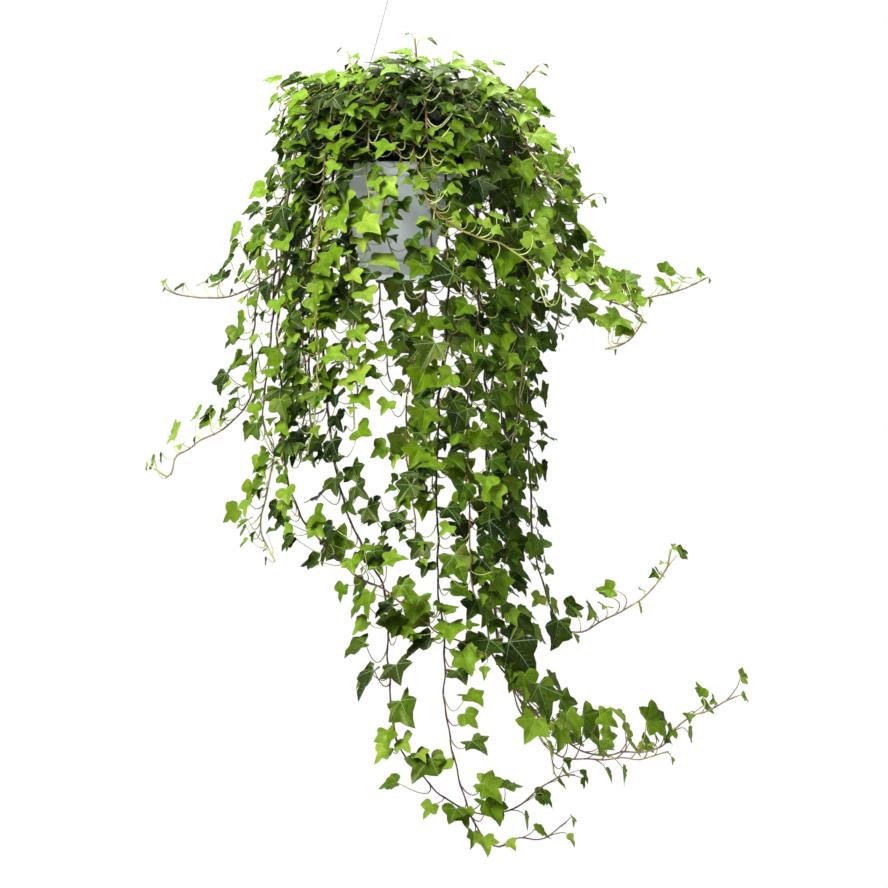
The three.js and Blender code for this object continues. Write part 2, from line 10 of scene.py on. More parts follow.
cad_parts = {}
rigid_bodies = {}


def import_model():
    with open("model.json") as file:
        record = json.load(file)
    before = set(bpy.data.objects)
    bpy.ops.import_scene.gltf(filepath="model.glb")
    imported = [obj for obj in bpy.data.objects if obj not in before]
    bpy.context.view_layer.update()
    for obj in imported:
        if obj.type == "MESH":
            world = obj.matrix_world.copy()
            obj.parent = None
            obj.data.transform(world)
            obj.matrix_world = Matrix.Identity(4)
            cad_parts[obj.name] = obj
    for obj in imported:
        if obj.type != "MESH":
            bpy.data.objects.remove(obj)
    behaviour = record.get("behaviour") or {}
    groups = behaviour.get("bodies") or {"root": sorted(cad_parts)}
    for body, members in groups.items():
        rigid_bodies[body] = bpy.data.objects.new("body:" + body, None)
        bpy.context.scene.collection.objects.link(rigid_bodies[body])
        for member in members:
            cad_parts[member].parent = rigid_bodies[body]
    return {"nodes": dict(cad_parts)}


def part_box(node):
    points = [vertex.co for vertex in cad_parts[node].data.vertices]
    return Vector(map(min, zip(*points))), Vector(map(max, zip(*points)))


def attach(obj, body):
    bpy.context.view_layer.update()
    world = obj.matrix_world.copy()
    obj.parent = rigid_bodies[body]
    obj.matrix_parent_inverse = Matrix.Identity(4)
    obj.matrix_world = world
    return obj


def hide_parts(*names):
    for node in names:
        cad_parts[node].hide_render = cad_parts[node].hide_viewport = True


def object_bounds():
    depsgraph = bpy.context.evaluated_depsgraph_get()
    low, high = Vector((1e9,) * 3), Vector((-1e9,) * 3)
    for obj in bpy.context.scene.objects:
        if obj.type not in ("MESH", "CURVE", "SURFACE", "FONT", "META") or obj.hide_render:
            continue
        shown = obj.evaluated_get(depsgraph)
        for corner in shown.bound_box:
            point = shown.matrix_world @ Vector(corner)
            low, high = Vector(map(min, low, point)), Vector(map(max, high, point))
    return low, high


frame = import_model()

# Trailing English ivy in a hanging pot. Lengths are in millimetres, and MM turns them to metres where a
# mesh or a light is made. The origin is the top of the hook's inside, and -Y is the front.
MM = 0.001
cad_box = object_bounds()

# View, floor and light
# The plant hangs level with the camera, in front of white. Wide soft lamps light it from the upper left
# and from above, with an even pale light all round. The floor lies far below it.
VIEW_WIDTH = 1110
VIEW_FROM = Vector((60, -3200, -627.5))
FLOOR_Z = -2200
FLOOR_HALF = 30000
ROOM_LIGHT = 0.35
KEY_FROM, KEY_AIM, KEY_SIZE, KEY_WATTS = (-1500, -2300, 1300), (40, 0, -500), 1300, 210
TOP_FROM, TOP_AIM, TOP_SIZE = (300, 300, 1700), (60, 0, -400), 1200
MIRRORED_WATTS, PLAIN_WATTS = 45, 50


def linear(colour):
    """An sRGB colour such as "A0B050" as the linear RGBA that a shader takes."""
    parts = [int(colour[i:i + 2], 16) / 255 for i in (0, 2, 4)]
    return [c / 12.92 if c <= 0.04045 else ((c + 0.055) / 1.055) ** 2.4 for c in parts] + [1]


def feed(node, inputs):
    """Fills or links inputs of a node. A node among the values stands for its first output in use."""
    for key, value in inputs.items():
        if isinstance(value, bpy.types.Node):
            value = next(out for out in value.outputs if out.enabled)
        if isinstance(value, bpy.types.NodeSocket):
            node.id_data.links.new(value, node.inputs[key])
        else:
            node.inputs[key].default_value = value


def add(tree, kind, inputs=None, **settings):
    """Adds a node, sets what it is told, and fills or links its inputs."""
    made = tree.nodes.new(kind)
    for name, value in settings.items():
        setattr(made, name, value)
    feed(made, inputs or {})
    return made


def new_material(name):
    """A material with its Principled shader, and the tree to add to."""
    made = bpy.data.materials.new(name)
    made.use_nodes = True
    return made, made.node_tree, made.node_tree.nodes["Principled BSDF"]


def stand(name, mesh, material=None):
    """Puts a mesh in the scene as an object at the origin."""
    made = bpy.data.objects.new(name, mesh)
    bpy.context.scene.collection.objects.link(made)
    if material:
        mesh.materials.append(material)
    return made


camera = bpy.data.objects.new("camera", bpy.data.cameras.new("camera"))
camera.data.sensor_width = 36
camera.data.lens = camera.data.sensor_width * -VIEW_FROM.y / VIEW_WIDTH
camera.data.clip_end = 100
camera.location = VIEW_FROM * MM
camera.rotation_euler = (math.pi / 2, 0, 0)
bpy.context.scene.collection.objects.link(camera)
bpy.context.scene.camera = camera
bpy.context.scene.view_settings.view_transform = "Standard"


def lit_and_shown(tree, lit, shown, end):
    """Ends a tree in two shaders: one that lights the plant, and one that only the camera sees."""
    seen = add(tree, "ShaderNodeLightPath").outputs["Is Camera Ray"]
    feed(tree.nodes[end], {"Surface": add(tree, "ShaderNodeMixShader", {0: seen, 1: lit, 2: shown})})


# The backdrop is white, and the room's own light is dimmer than it.
studio = bpy.data.worlds.new("studio")
studio.use_nodes = True
bpy.context.scene.world = studio
backdrop = add(studio.node_tree, "ShaderNodeBackground", {"Color": linear("FFFFFF"), "Strength": 1})
room = add(studio.node_tree, "ShaderNodeBackground", {"Color": linear("F4F6FA"), "Strength": ROOM_LIGHT})
lit_and_shown(studio.node_tree, room, backdrop, "World Output")


def soft_light(name, place, aim, size, watts, mirrored=True):
    """A square lamp that faces the plant, and that glossy surfaces mirror or don't."""
    lamp = bpy.data.lights.new(name, "AREA")
    lamp.size = size * MM
    lamp.energy = watts
    made = bpy.data.objects.new(name, lamp)
    made.location = Vector(place) * MM
    made.rotation_euler = (Vector(aim) - Vector(place)).to_track_quat("-Z", "Y").to_euler()
    made.visible_glossy = mirrored
    bpy.context.scene.collection.objects.link(made)


# The lamp above is two in one place, so that the waxy leaves mirror only half of its light.
soft_light("key light", KEY_FROM, KEY_AIM, KEY_SIZE, KEY_WATTS)
soft_light("top light", TOP_FROM, TOP_AIM, TOP_SIZE, MIRRORED_WATTS)
soft_light("top fill", TOP_FROM, TOP_AIM, TOP_SIZE, PLAIN_WATTS, mirrored=False)

# White paper: matt and plain, and to the camera as bright as the backdrop.
white_paper, paper_tree, paper = new_material("white paper")
feed(paper, {"Base Color": linear("FFFFFF"), "Roughness": 0.9})
glow = add(paper_tree, "ShaderNodeEmission", {"Color": linear("FFFFFF"), "Strength": 1})
lit_and_shown(paper_tree, paper, glow, "Material Output")
floor_mesh = bpy.data.meshes.new("floor")
corners = [(x * FLOOR_HALF * MM, y * FLOOR_HALF * MM, FLOOR_Z * MM)
           for x, y in ((-1, -1), (1, -1), (1, 1), (-1, 1))]
floor_mesh.from_pydata(corners, [], [(0, 1, 2, 3)])
stand("floor", floor_mesh, white_paper)

# Pot
# An injection-moulded polypropylene pot in a light blue grey: a tapered wall, a band and a rolled lip at
# the rim, drain holes in the floor, and three slotted lugs that the hanger's arms snap into.
POT_FOOT, POT_TOP = (corner.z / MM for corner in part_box("pot"))
POT_SIDES = 96
RIM_R, RIM_BAND = 75, 17
WALL, WALL_TOP_R = 2, 71
FOOT_R, FLOOR_THICK = 41, 2.5
DRAINS, DRAIN_R, DRAIN_RING_R, DRAIN_SIDES = 5, 4, 24, 24
ARM_TURNS = (180, 60, -60)
LUG_INNER, LUG_OUTER, LUG_WIDTH, LUG_HEIGHT, LUG_DROP = 73, 85, 12, 6, 3
SLOT_WIDTH, SLOT_DEPTH, SLOT_R = 5.6, 2.8, 79
SHARP_FROM = math.radians(35)


def turned(profile, sides=POT_SIDES):
    """A closed profile of (r, z) turned about the upright axis, as a bmesh."""
    made = bmesh.new()
    rings = []
    for r, z in profile:
        turns = (2 * math.pi * i / sides for i in range(sides))
        rings.append([made.verts.new((r * MM * math.cos(a), r * MM * math.sin(a), z * MM)) for a in turns])
    for lower, upper in zip(rings, rings[1:]):
        for i in range(sides):
            j = (i + 1) % sides
            made.faces.new((lower[i], lower[j], upper[j], upper[i]))
    bmesh.ops.remove_doubles(made, verts=made.verts, dist=1e-7)
    bmesh.ops.recalc_face_normals(made, faces=made.faces)
    return made


def spun(built, turn):
    """Turns a bmesh about the upright axis, in degrees."""
    bmesh.ops.rotate(built, verts=built.verts, matrix=Matrix.Rotation(math.radians(turn), 3, "Z"))
    return built


def block(x, y, z, turn=0, bevel=0):
    """A box between three pairs of limits, turned about the upright axis, as a bmesh."""
    made = bmesh.new()
    bmesh.ops.create_cube(made, size=1)
    for vert in made.verts:
        vert.co = Vector([low + (high - low) * (c + 0.5) for c, (low, high) in zip(vert.co, (x, y, z))]) * MM
    if bevel:
        bmesh.ops.bevel(made, geom=made.edges, offset=bevel * MM, segments=3, profile=0.5, affect="EDGES")
    return spun(made, turn)


def as_mesh(name, built):
    """A bmesh as a mesh, smooth apart from its sharp edges."""
    mesh = bpy.data.meshes.new(name)
    built.to_mesh(mesh)
    built.free()
    mesh.shade_smooth()
    mesh.set_sharp_from_angle(angle=SHARP_FROM)
    return mesh


def settled(piece):
    """Replaces a piece's mesh with what its modifiers make of it, and removes them."""
    ready = piece.evaluated_get(bpy.context.evaluated_depsgraph_get())
    made = bpy.data.meshes.new_from_object(ready)
    made.name = piece.name
    piece.modifiers.clear()
    piece.data = made
    return piece


def joined_and_cut(piece, joined=(), cut=()):
    """Joins closed bodies to a piece and then cuts others out of it."""
    tools = []
    for way, bodies in (("UNION", joined), ("DIFFERENCE", cut)):
        for built in bodies:
            tools.append(stand(f"tool_{len(tools)}", as_mesh("tool", built)))
            change = piece.modifiers.new(way, "BOOLEAN")
            change.operation = way
            change.object = tools[-1]
    settled(piece)
    for tool in tools:
        bpy.data.objects.remove(tool)
    piece.data.shade_smooth()
    piece.data.set_sharp_from_angle(angle=SHARP_FROM)
    return piece


def moulded_plastic(name, colour, shade, roughness):
    """Injection-moulded polypropylene: an even colour, a faint cloudiness, and a soft sheen that a very
    fine texture from the mould breaks up. The dull film of dust and lime is in the shade colour. The cloud
    is 3 cm wide, and the mould's texture 1 mm, coarser than the real one, so that it shows."""
    made, tree, shader = new_material(name)
    place = add(tree, "ShaderNodeTexCoord").outputs["Object"]
    cloud = add(tree, "ShaderNodeTexNoise", {"Vector": place, "Scale": 30, "Detail": 4})
    film = add(tree, "ShaderNodeMapRange", {"Value": cloud, "From Min": 0.42, "From Max": 0.75})
    tone = add(tree, "ShaderNodeMix", {0: film, 6: linear(colour), 7: linear(shade)}, data_type="RGBA")
    rough = add(tree, "ShaderNodeMapRange",
                {"Value": cloud, "To Min": roughness - 0.08, "To Max": roughness + 0.12})
    grain = add(tree, "ShaderNodeTexNoise", {"Vector": place, "Scale": 900, "Detail": 2})
    bump = add(tree, "ShaderNodeBump", {"Height": grain, "Strength": 0.12, "Distance": 0.0003})
    feed(shader, {"Base Color": tone, "Roughness": rough, "Normal": bump, "IOR": 1.49})
    return made


pot_plastic = moulded_plastic("moulded polypropylene, blue grey", "E2EAEE", "D0D9DE", 0.42)
band_bottom = POT_TOP - RIM_BAND
pot_inside = POT_FOOT + FLOOR_THICK


def wall_r(z):
    """Outer radius of the pot's wall at a height."""
    return FOOT_R + (WALL_TOP_R - FOOT_R) * (z - POT_FOOT) / (band_bottom - POT_FOOT)


# The wall has a small step a little above its middle.
step_z = POT_FOOT + 0.62 * (band_bottom - POT_FOOT)
pot_profile = [
    (0, POT_FOOT + 1.5), (FOOT_R - 6, POT_FOOT + 1.5), (FOOT_R - 5, POT_FOOT), (FOOT_R - 1.6, POT_FOOT),
    (FOOT_R - 0.4, POT_FOOT + 0.5), (FOOT_R + 0.2, POT_FOOT + 1.8),
    (wall_r(step_z) - 0.2, step_z - 1), (wall_r(step_z) + 0.5, step_z),
    (wall_r(step_z + 1) + 0.5, step_z + 1),
    (WALL_TOP_R, band_bottom - 1), (WALL_TOP_R + 0.6, band_bottom), (RIM_R - 0.9, band_bottom),
    (RIM_R - 0.2, band_bottom + 0.6), (RIM_R, band_bottom + 1.8), (RIM_R + 0.3, POT_TOP - 5),
    (RIM_R + 0.9, POT_TOP - 3.6), (RIM_R + 1, POT_TOP - 2), (RIM_R + 0.6, POT_TOP - 0.8),
    (RIM_R - 0.4, POT_TOP - 0.1), (RIM_R - 1.6, POT_TOP), (RIM_R - 2.7, POT_TOP - 0.7),
    (RIM_R - 3, POT_TOP - 2), (WALL_TOP_R - WALL + 1, band_bottom + 5), (WALL_TOP_R - WALL, band_bottom + 2),
    (FOOT_R - WALL, pot_inside + 4), (FOOT_R - WALL - 1, pot_inside + 1), (FOOT_R - WALL - 3.5, pot_inside),
    (0, pot_inside),
]
pot = stand("pot_shell", as_mesh("pot_shell", turned(pot_profile)), pot_plastic)
lug_top = POT_TOP - LUG_DROP
lug_bottom = lug_top - LUG_HEIGHT
lugs = [block((LUG_INNER, LUG_OUTER), (-LUG_WIDTH / 2, LUG_WIDTH / 2), (lug_bottom, lug_top), turn, 0.8)
        for turn in ARM_TURNS]
slots = [block((SLOT_R - SLOT_DEPTH / 2, SLOT_R + SLOT_DEPTH / 2), (-SLOT_WIDTH / 2, SLOT_WIDTH / 2),
               (lug_bottom - 3, lug_top + 3), turn) for turn in ARM_TURNS]
drains = []
for i in range(DRAINS):
    drain = turned([(0, POT_FOOT - 2), (DRAIN_R, POT_FOOT - 2), (DRAIN_R, pot_inside + 2),
                    (0, pot_inside + 2)], DRAIN_SIDES)
    turn = 2 * math.pi * i / DRAINS
    bmesh.ops.translate(drain, verts=drain.verts,
                        vec=Vector((math.cos(turn), math.sin(turn), 0)) * DRAIN_RING_R * MM)
    drains.append(drain)
joined_and_cut(pot, lugs, slots + drains)
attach(pot, "root")
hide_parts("pot")

# Saucer
# The same plastic, moulded as a shallow dish that is fixed under the pot's foot. It has a rolled edge and
# two low rings inside.
SAUCER_FOOT, SAUCER_TOP = (corner.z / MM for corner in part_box("saucer"))
SAUCER_R, SAUCER_FLOOR = 47.5, 2.4
SAUCER_RINGS = (14, 32)
saucer_inside = SAUCER_FOOT + SAUCER_FLOOR
saucer_profile = [
    (0, SAUCER_FOOT + 0.8), (SAUCER_R - 9, SAUCER_FOOT + 0.8), (SAUCER_R - 8, SAUCER_FOOT),
    (SAUCER_R - 4, SAUCER_FOOT), (SAUCER_R - 2.6, SAUCER_FOOT + 0.7), (SAUCER_R - 1.9, SAUCER_FOOT + 2.2),
    (SAUCER_R - 0.9, SAUCER_TOP - 2.8), (SAUCER_R - 0.3, SAUCER_TOP - 2.2), (SAUCER_R, SAUCER_TOP - 1.1),
    (SAUCER_R - 0.3, SAUCER_TOP - 0.3), (SAUCER_R - 1.1, SAUCER_TOP), (SAUCER_R - 1.8, SAUCER_TOP - 0.4),
    (SAUCER_R - 2.2, SAUCER_TOP - 1.6), (SAUCER_R - 4, saucer_inside + 1.4), (SAUCER_R - 5.4, saucer_inside),
]
for ring_r in reversed(SAUCER_RINGS):
    saucer_profile += [(ring_r + 1, saucer_inside), (ring_r + 0.5, saucer_inside + 0.25),
                       (ring_r - 0.5, saucer_inside + 0.25), (ring_r - 1, saucer_inside)]
saucer_profile.append((0, saucer_inside))
saucer = stand("saucer_dish", as_mesh("saucer_dish", turned(saucer_profile)), pot_plastic)
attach(saucer, "root")
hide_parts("saucer")

# Hanger
# White polypropylene, moulded in one piece: a hook, a hub, and three flat arms that bow out over the
# plant and end in barbs in the pot's lugs.
ARM_WIDTH, ARM_THICK, ARM_EDGE = 5, 2.2, 0.6
BARB_HALF, BARB_HEIGHT = 2.6, 3
ARM_END = lug_bottom - 0.3
ARM_ROUTE = [(3, -32), (5, -46), (12, -75), (26, -127), (40, -174), (58, -228), (73, -264),
             (SLOT_R, lug_top + 2), (SLOT_R, ARM_END)]
HUB_R, HUB_TOP, HUB_BOTTOM = 6.5, -27, -40
HOOK_INNER, HOOK_WIRE = 9, 2.3
HOOK_FROM, HOOK_TO, HOOK_STEP = -66, 200, 7
WIRE_SIDES, HUB_SIDES = 16, 48


def on_route(points, places):
    """Points of a smooth line through points, at places from 0 at its start to 1 at its end. The line is
    a Catmull-Rom curve whose spans are weighed by the root of their length, so that it never loops."""
    points = np.array(points, float)
    padded = np.vstack([2 * points[0] - points[1], points, 2 * points[-1] - points[-2]])
    spans = len(points) - 1
    run = np.clip(places, 0, 1) * spans
    i = np.minimum(run.astype(int), spans - 1)
    t = (run - i)[:, None]
    p0, p1, p2, p3 = (padded[i + k] for k in range(4))
    d0, d1, d2 = (np.sqrt(np.linalg.norm(b - a, axis=1))[:, None] for a, b in ((p0, p1), (p1, p2), (p2, p3)))
    leave = ((p1 - p0) / d0 - (p2 - p0) / (d0 + d1) + (p2 - p1) / d1) * d1
    reach = ((p2 - p1) / d1 - (p3 - p1) / (d1 + d2) + (p3 - p2) / d2) * d1
    square = 3 * (p2 - p1) - 2 * leave - reach
    cube = 2 * (p1 - p2) + leave + reach
    return p1 + leave * t + square * t ** 2 + cube * t ** 3


def swept(path, section, scale=None):
    """A closed strip or wire: a section of (across, y) carried along a path of (x, z), as a bmesh."""
    path = np.array(path, float)
    along = np.gradient(path, axis=0)
    along /= np.linalg.norm(along, axis=1)[:, None]
    made = bmesh.new()
    rings = []
    for k, ((x, z), (ax, az)) in enumerate(zip(path, along)):
        grown = scale[k] if scale is not None else 1
        rings.append([made.verts.new(Vector((x + az * a * grown, b * grown, z - ax * a * grown)) * MM)
                      for a, b in section])
    count = len(section)
    for lower, upper in zip(rings, rings[1:]):
        for i in range(count):
            j = (i + 1) % count
            made.faces.new((lower[i], lower[j], upper[j], upper[i]))
    made.faces.new(rings[0])
    made.faces.new(rings[-1])
    bmesh.ops.recalc_face_normals(made, faces=made.faces)
    return made


half_thick, half_width = ARM_THICK / 2, ARM_WIDTH / 2
near_thick, near_width = half_thick - ARM_EDGE, half_width - ARM_EDGE
corner = [(half_thick, near_width), (near_thick, half_width)]
strip = (corner + [(-a, b) for a, b in reversed(corner)] + [(-a, -b) for a, b in corner]
         + [(a, -b) for a, b in reversed(corner)])
arm_line = on_route(ARM_ROUTE, np.linspace(0, 1, 49))
barb_line = [(SLOT_R, ARM_END + 0.4), (SLOT_R, ARM_END), (SLOT_R, ARM_END - BARB_HEIGHT)]
barb_section = [(s * BARB_HALF, t * half_width) for s, t in ((1, 1), (-1, 1), (-1, -1), (1, -1))]
hanger_parts = []
for turn in ARM_TURNS:
    hanger_parts.append(spun(swept(arm_line, strip), turn))
    hanger_parts.append(spun(swept(barb_line, barb_section, (0.96, 1, 0.7)), turn))
bend = HOOK_INNER + HOOK_WIRE
hook_line = [(0, HUB_TOP - 4), (0, HUB_TOP), (0, -HOOK_INNER - bend - 1)]
for angle in range(HOOK_FROM, HOOK_TO + 1, HOOK_STEP):
    turn = math.radians(angle)
    hook_line.append((bend * math.cos(turn), -HOOK_INNER + bend * math.sin(turn)))
wire = [(HOOK_WIRE * math.cos(a), HOOK_WIRE * math.sin(a))
        for a in (2 * math.pi * i / WIRE_SIDES for i in range(WIRE_SIDES))]
hook_line = on_route(hook_line, np.linspace(0, 1, 90))
# The wire tapers over its last two steps, which rounds the hook's end.
hook_scale = [min(1, 0.35 + math.sqrt((len(hook_line) - 1 - k) / 3)) for k in range(len(hook_line))]
hanger_parts.append(swept(hook_line, wire, hook_scale))
hanger_plastic = moulded_plastic("moulded polypropylene, white", "CDD2D5", "BCC2C5", 0.36)
hub_profile = [
    (0, HUB_BOTTOM), (HUB_R - 1.2, HUB_BOTTOM), (HUB_R - 0.3, HUB_BOTTOM + 0.4), (HUB_R, HUB_BOTTOM + 1.3),
    (HUB_R, HUB_TOP - 1.3), (HUB_R - 0.3, HUB_TOP - 0.4), (HUB_R - 1.2, HUB_TOP), (0, HUB_TOP),
]
hub = as_mesh("hanger_moulding", turned(hub_profile, HUB_SIDES))
hanger = stand("hanger_moulding", hub, hanger_plastic)
joined_and_cut(hanger, hanger_parts)
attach(hanger, "root")
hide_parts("hanger")

# Soil
# Damp peat with coarse crumbs, pressed into the pot up to 1 cm below its rim. It holds the feet of all the
# stems.
SOIL_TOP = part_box("soil")[1].z / MM
SOIL_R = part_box("soil")[1].x / MM
SOIL_DEPTH, SOIL_RELIEF, SOIL_WAVES = 30, 1.6, 60
SOIL_SIDES, SOIL_RINGS = 72, 14
CRUMB_SIZE, CRUMBS_PER_CM2 = 2.2, 5


def new_tree(name, **inputs):
    """A Geometry Nodes tree with its group input and output. Each named input has a socket type."""
    made = bpy.data.node_groups.new(name, "GeometryNodeTree")
    made.interface.new_socket("Geometry", in_out="INPUT", socket_type="NodeSocketGeometry")
    for key, kind in inputs.items():
        made.interface.new_socket(key, in_out="INPUT", socket_type=kind)
    made.interface.new_socket("Geometry", in_out="OUTPUT", socket_type="NodeSocketGeometry")
    return made, made.nodes.new("NodeGroupInput").outputs, made.nodes.new("NodeGroupOutput")


def close_tree(tree, last, geometry, material):
    """Ends a tree in Realize Instances, smooth faces and Set Material."""
    real = add(tree, "GeometryNodeRealizeInstances", {"Geometry": geometry})
    smooth = add(tree, "GeometryNodeSetShadeSmooth", {"Geometry": real})
    feed(last, {"Geometry": add(tree, "GeometryNodeSetMaterial", {"Geometry": smooth, "Material": material})})


def grown_by(piece, tree, **values):
    """Runs a tree on a piece with these values for its named inputs, and keeps the plain mesh."""
    change = piece.modifiers.new(tree.name, "NODES")
    change.node_group = tree
    for item in tree.interface.items_tree:
        if item.in_out == "INPUT" and item.name in values:
            change[item.identifier] = values[item.name]
    return settled(piece)


tree, given, last = new_tree("soil crumbs", Size="NodeSocketFloat", Density="NodeSocketFloat",
                             Seed="NodeSocketInt", Material="NodeSocketMaterial")
upward = add(tree, "ShaderNodeSeparateXYZ", {0: add(tree, "GeometryNodeInputNormal")}).outputs["Z"]
on_top = add(tree, "FunctionNodeCompare", {0: upward, 1: 0.6}, operation="GREATER_THAN")
spots = add(tree, "GeometryNodeDistributePointsOnFaces",
            {"Mesh": given["Geometry"], "Selection": on_top, "Density": given["Density"],
             "Seed": given["Seed"]})
lump = add(tree, "GeometryNodeMeshIcoSphere", {"Radius": given["Size"], "Subdivisions": 1})
turns = add(tree, "FunctionNodeRandomValue", {1: (6.3, 6.3, 6.3), "Seed": given["Seed"]},
            data_type="FLOAT_VECTOR")
sizes = add(tree, "FunctionNodeRandomValue", {0: (0.3, 0.3, 0.2), 1: (1, 0.8, 0.5), "Seed": given["Seed"]},
            data_type="FLOAT_VECTOR")
crumbs = add(tree, "GeometryNodeInstanceOnPoints",
             {"Points": spots, "Instance": lump, "Rotation": turns, "Scale": sizes})
both = add(tree, "GeometryNodeJoinGeometry", {0: given["Geometry"]})
feed(both, {0: crumbs})
close_tree(tree, last, both, given["Material"])
crumb_tree = tree

# Peat: fibrous and nearly black where it is damp, with paler dry fibres 2 to 3 mm long, and no gloss.
peat, tree, shader = new_material("damp peat")
place = add(tree, "ShaderNodeTexCoord").outputs["Object"]
fibre = add(tree, "ShaderNodeTexNoise", {"Vector": place, "Scale": 420, "Detail": 5, "Distortion": 1.5})
dry = add(tree, "ShaderNodeMapRange", {"Value": fibre, "From Min": 0.45, "From Max": 0.72})
tone = add(tree, "ShaderNodeMix", {0: dry, 6: linear("1F150D"), 7: linear("5A4430")}, data_type="RGBA")
bump = add(tree, "ShaderNodeBump", {"Height": fibre, "Strength": 0.8, "Distance": 0.001})
feed(shader, {"Base Color": tone, "Normal": bump, "Roughness": 0.95})

soil_profile = [(SOIL_R * k / SOIL_RINGS, SOIL_TOP) for k in range(SOIL_RINGS + 1)]
soil_profile += [(SOIL_R - 6, SOIL_TOP - SOIL_DEPTH), (0, SOIL_TOP - SOIL_DEPTH)]
soil_built = turned(soil_profile, SOIL_SIDES)
for vert in soil_built.verts:
    if vert.co.z > (SOIL_TOP - 1) * MM:
        vert.co.z += SOIL_RELIEF * MM * noise.noise(vert.co * SOIL_WAVES)
soil = stand("soil_peat", as_mesh("soil_peat", soil_built))
grown_by(soil, crumb_tree, Size=CRUMB_SIZE * MM, Density=CRUMBS_PER_CM2 * 1e4, Seed=3, Material=peat)
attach(soil, "root")
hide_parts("soil")

# Stems
# Thin ivy stems, woody at the foot and green at the tip. They root in the peat, rise out of the pot and
# hang over its rim on all sides, and some turn up again at their ends.
STEM_FOOT, STEM_RISE, STEM_LEAN = -308, 42, 1.02
SPRAY = dict(bark=0.6, forward=2.2)
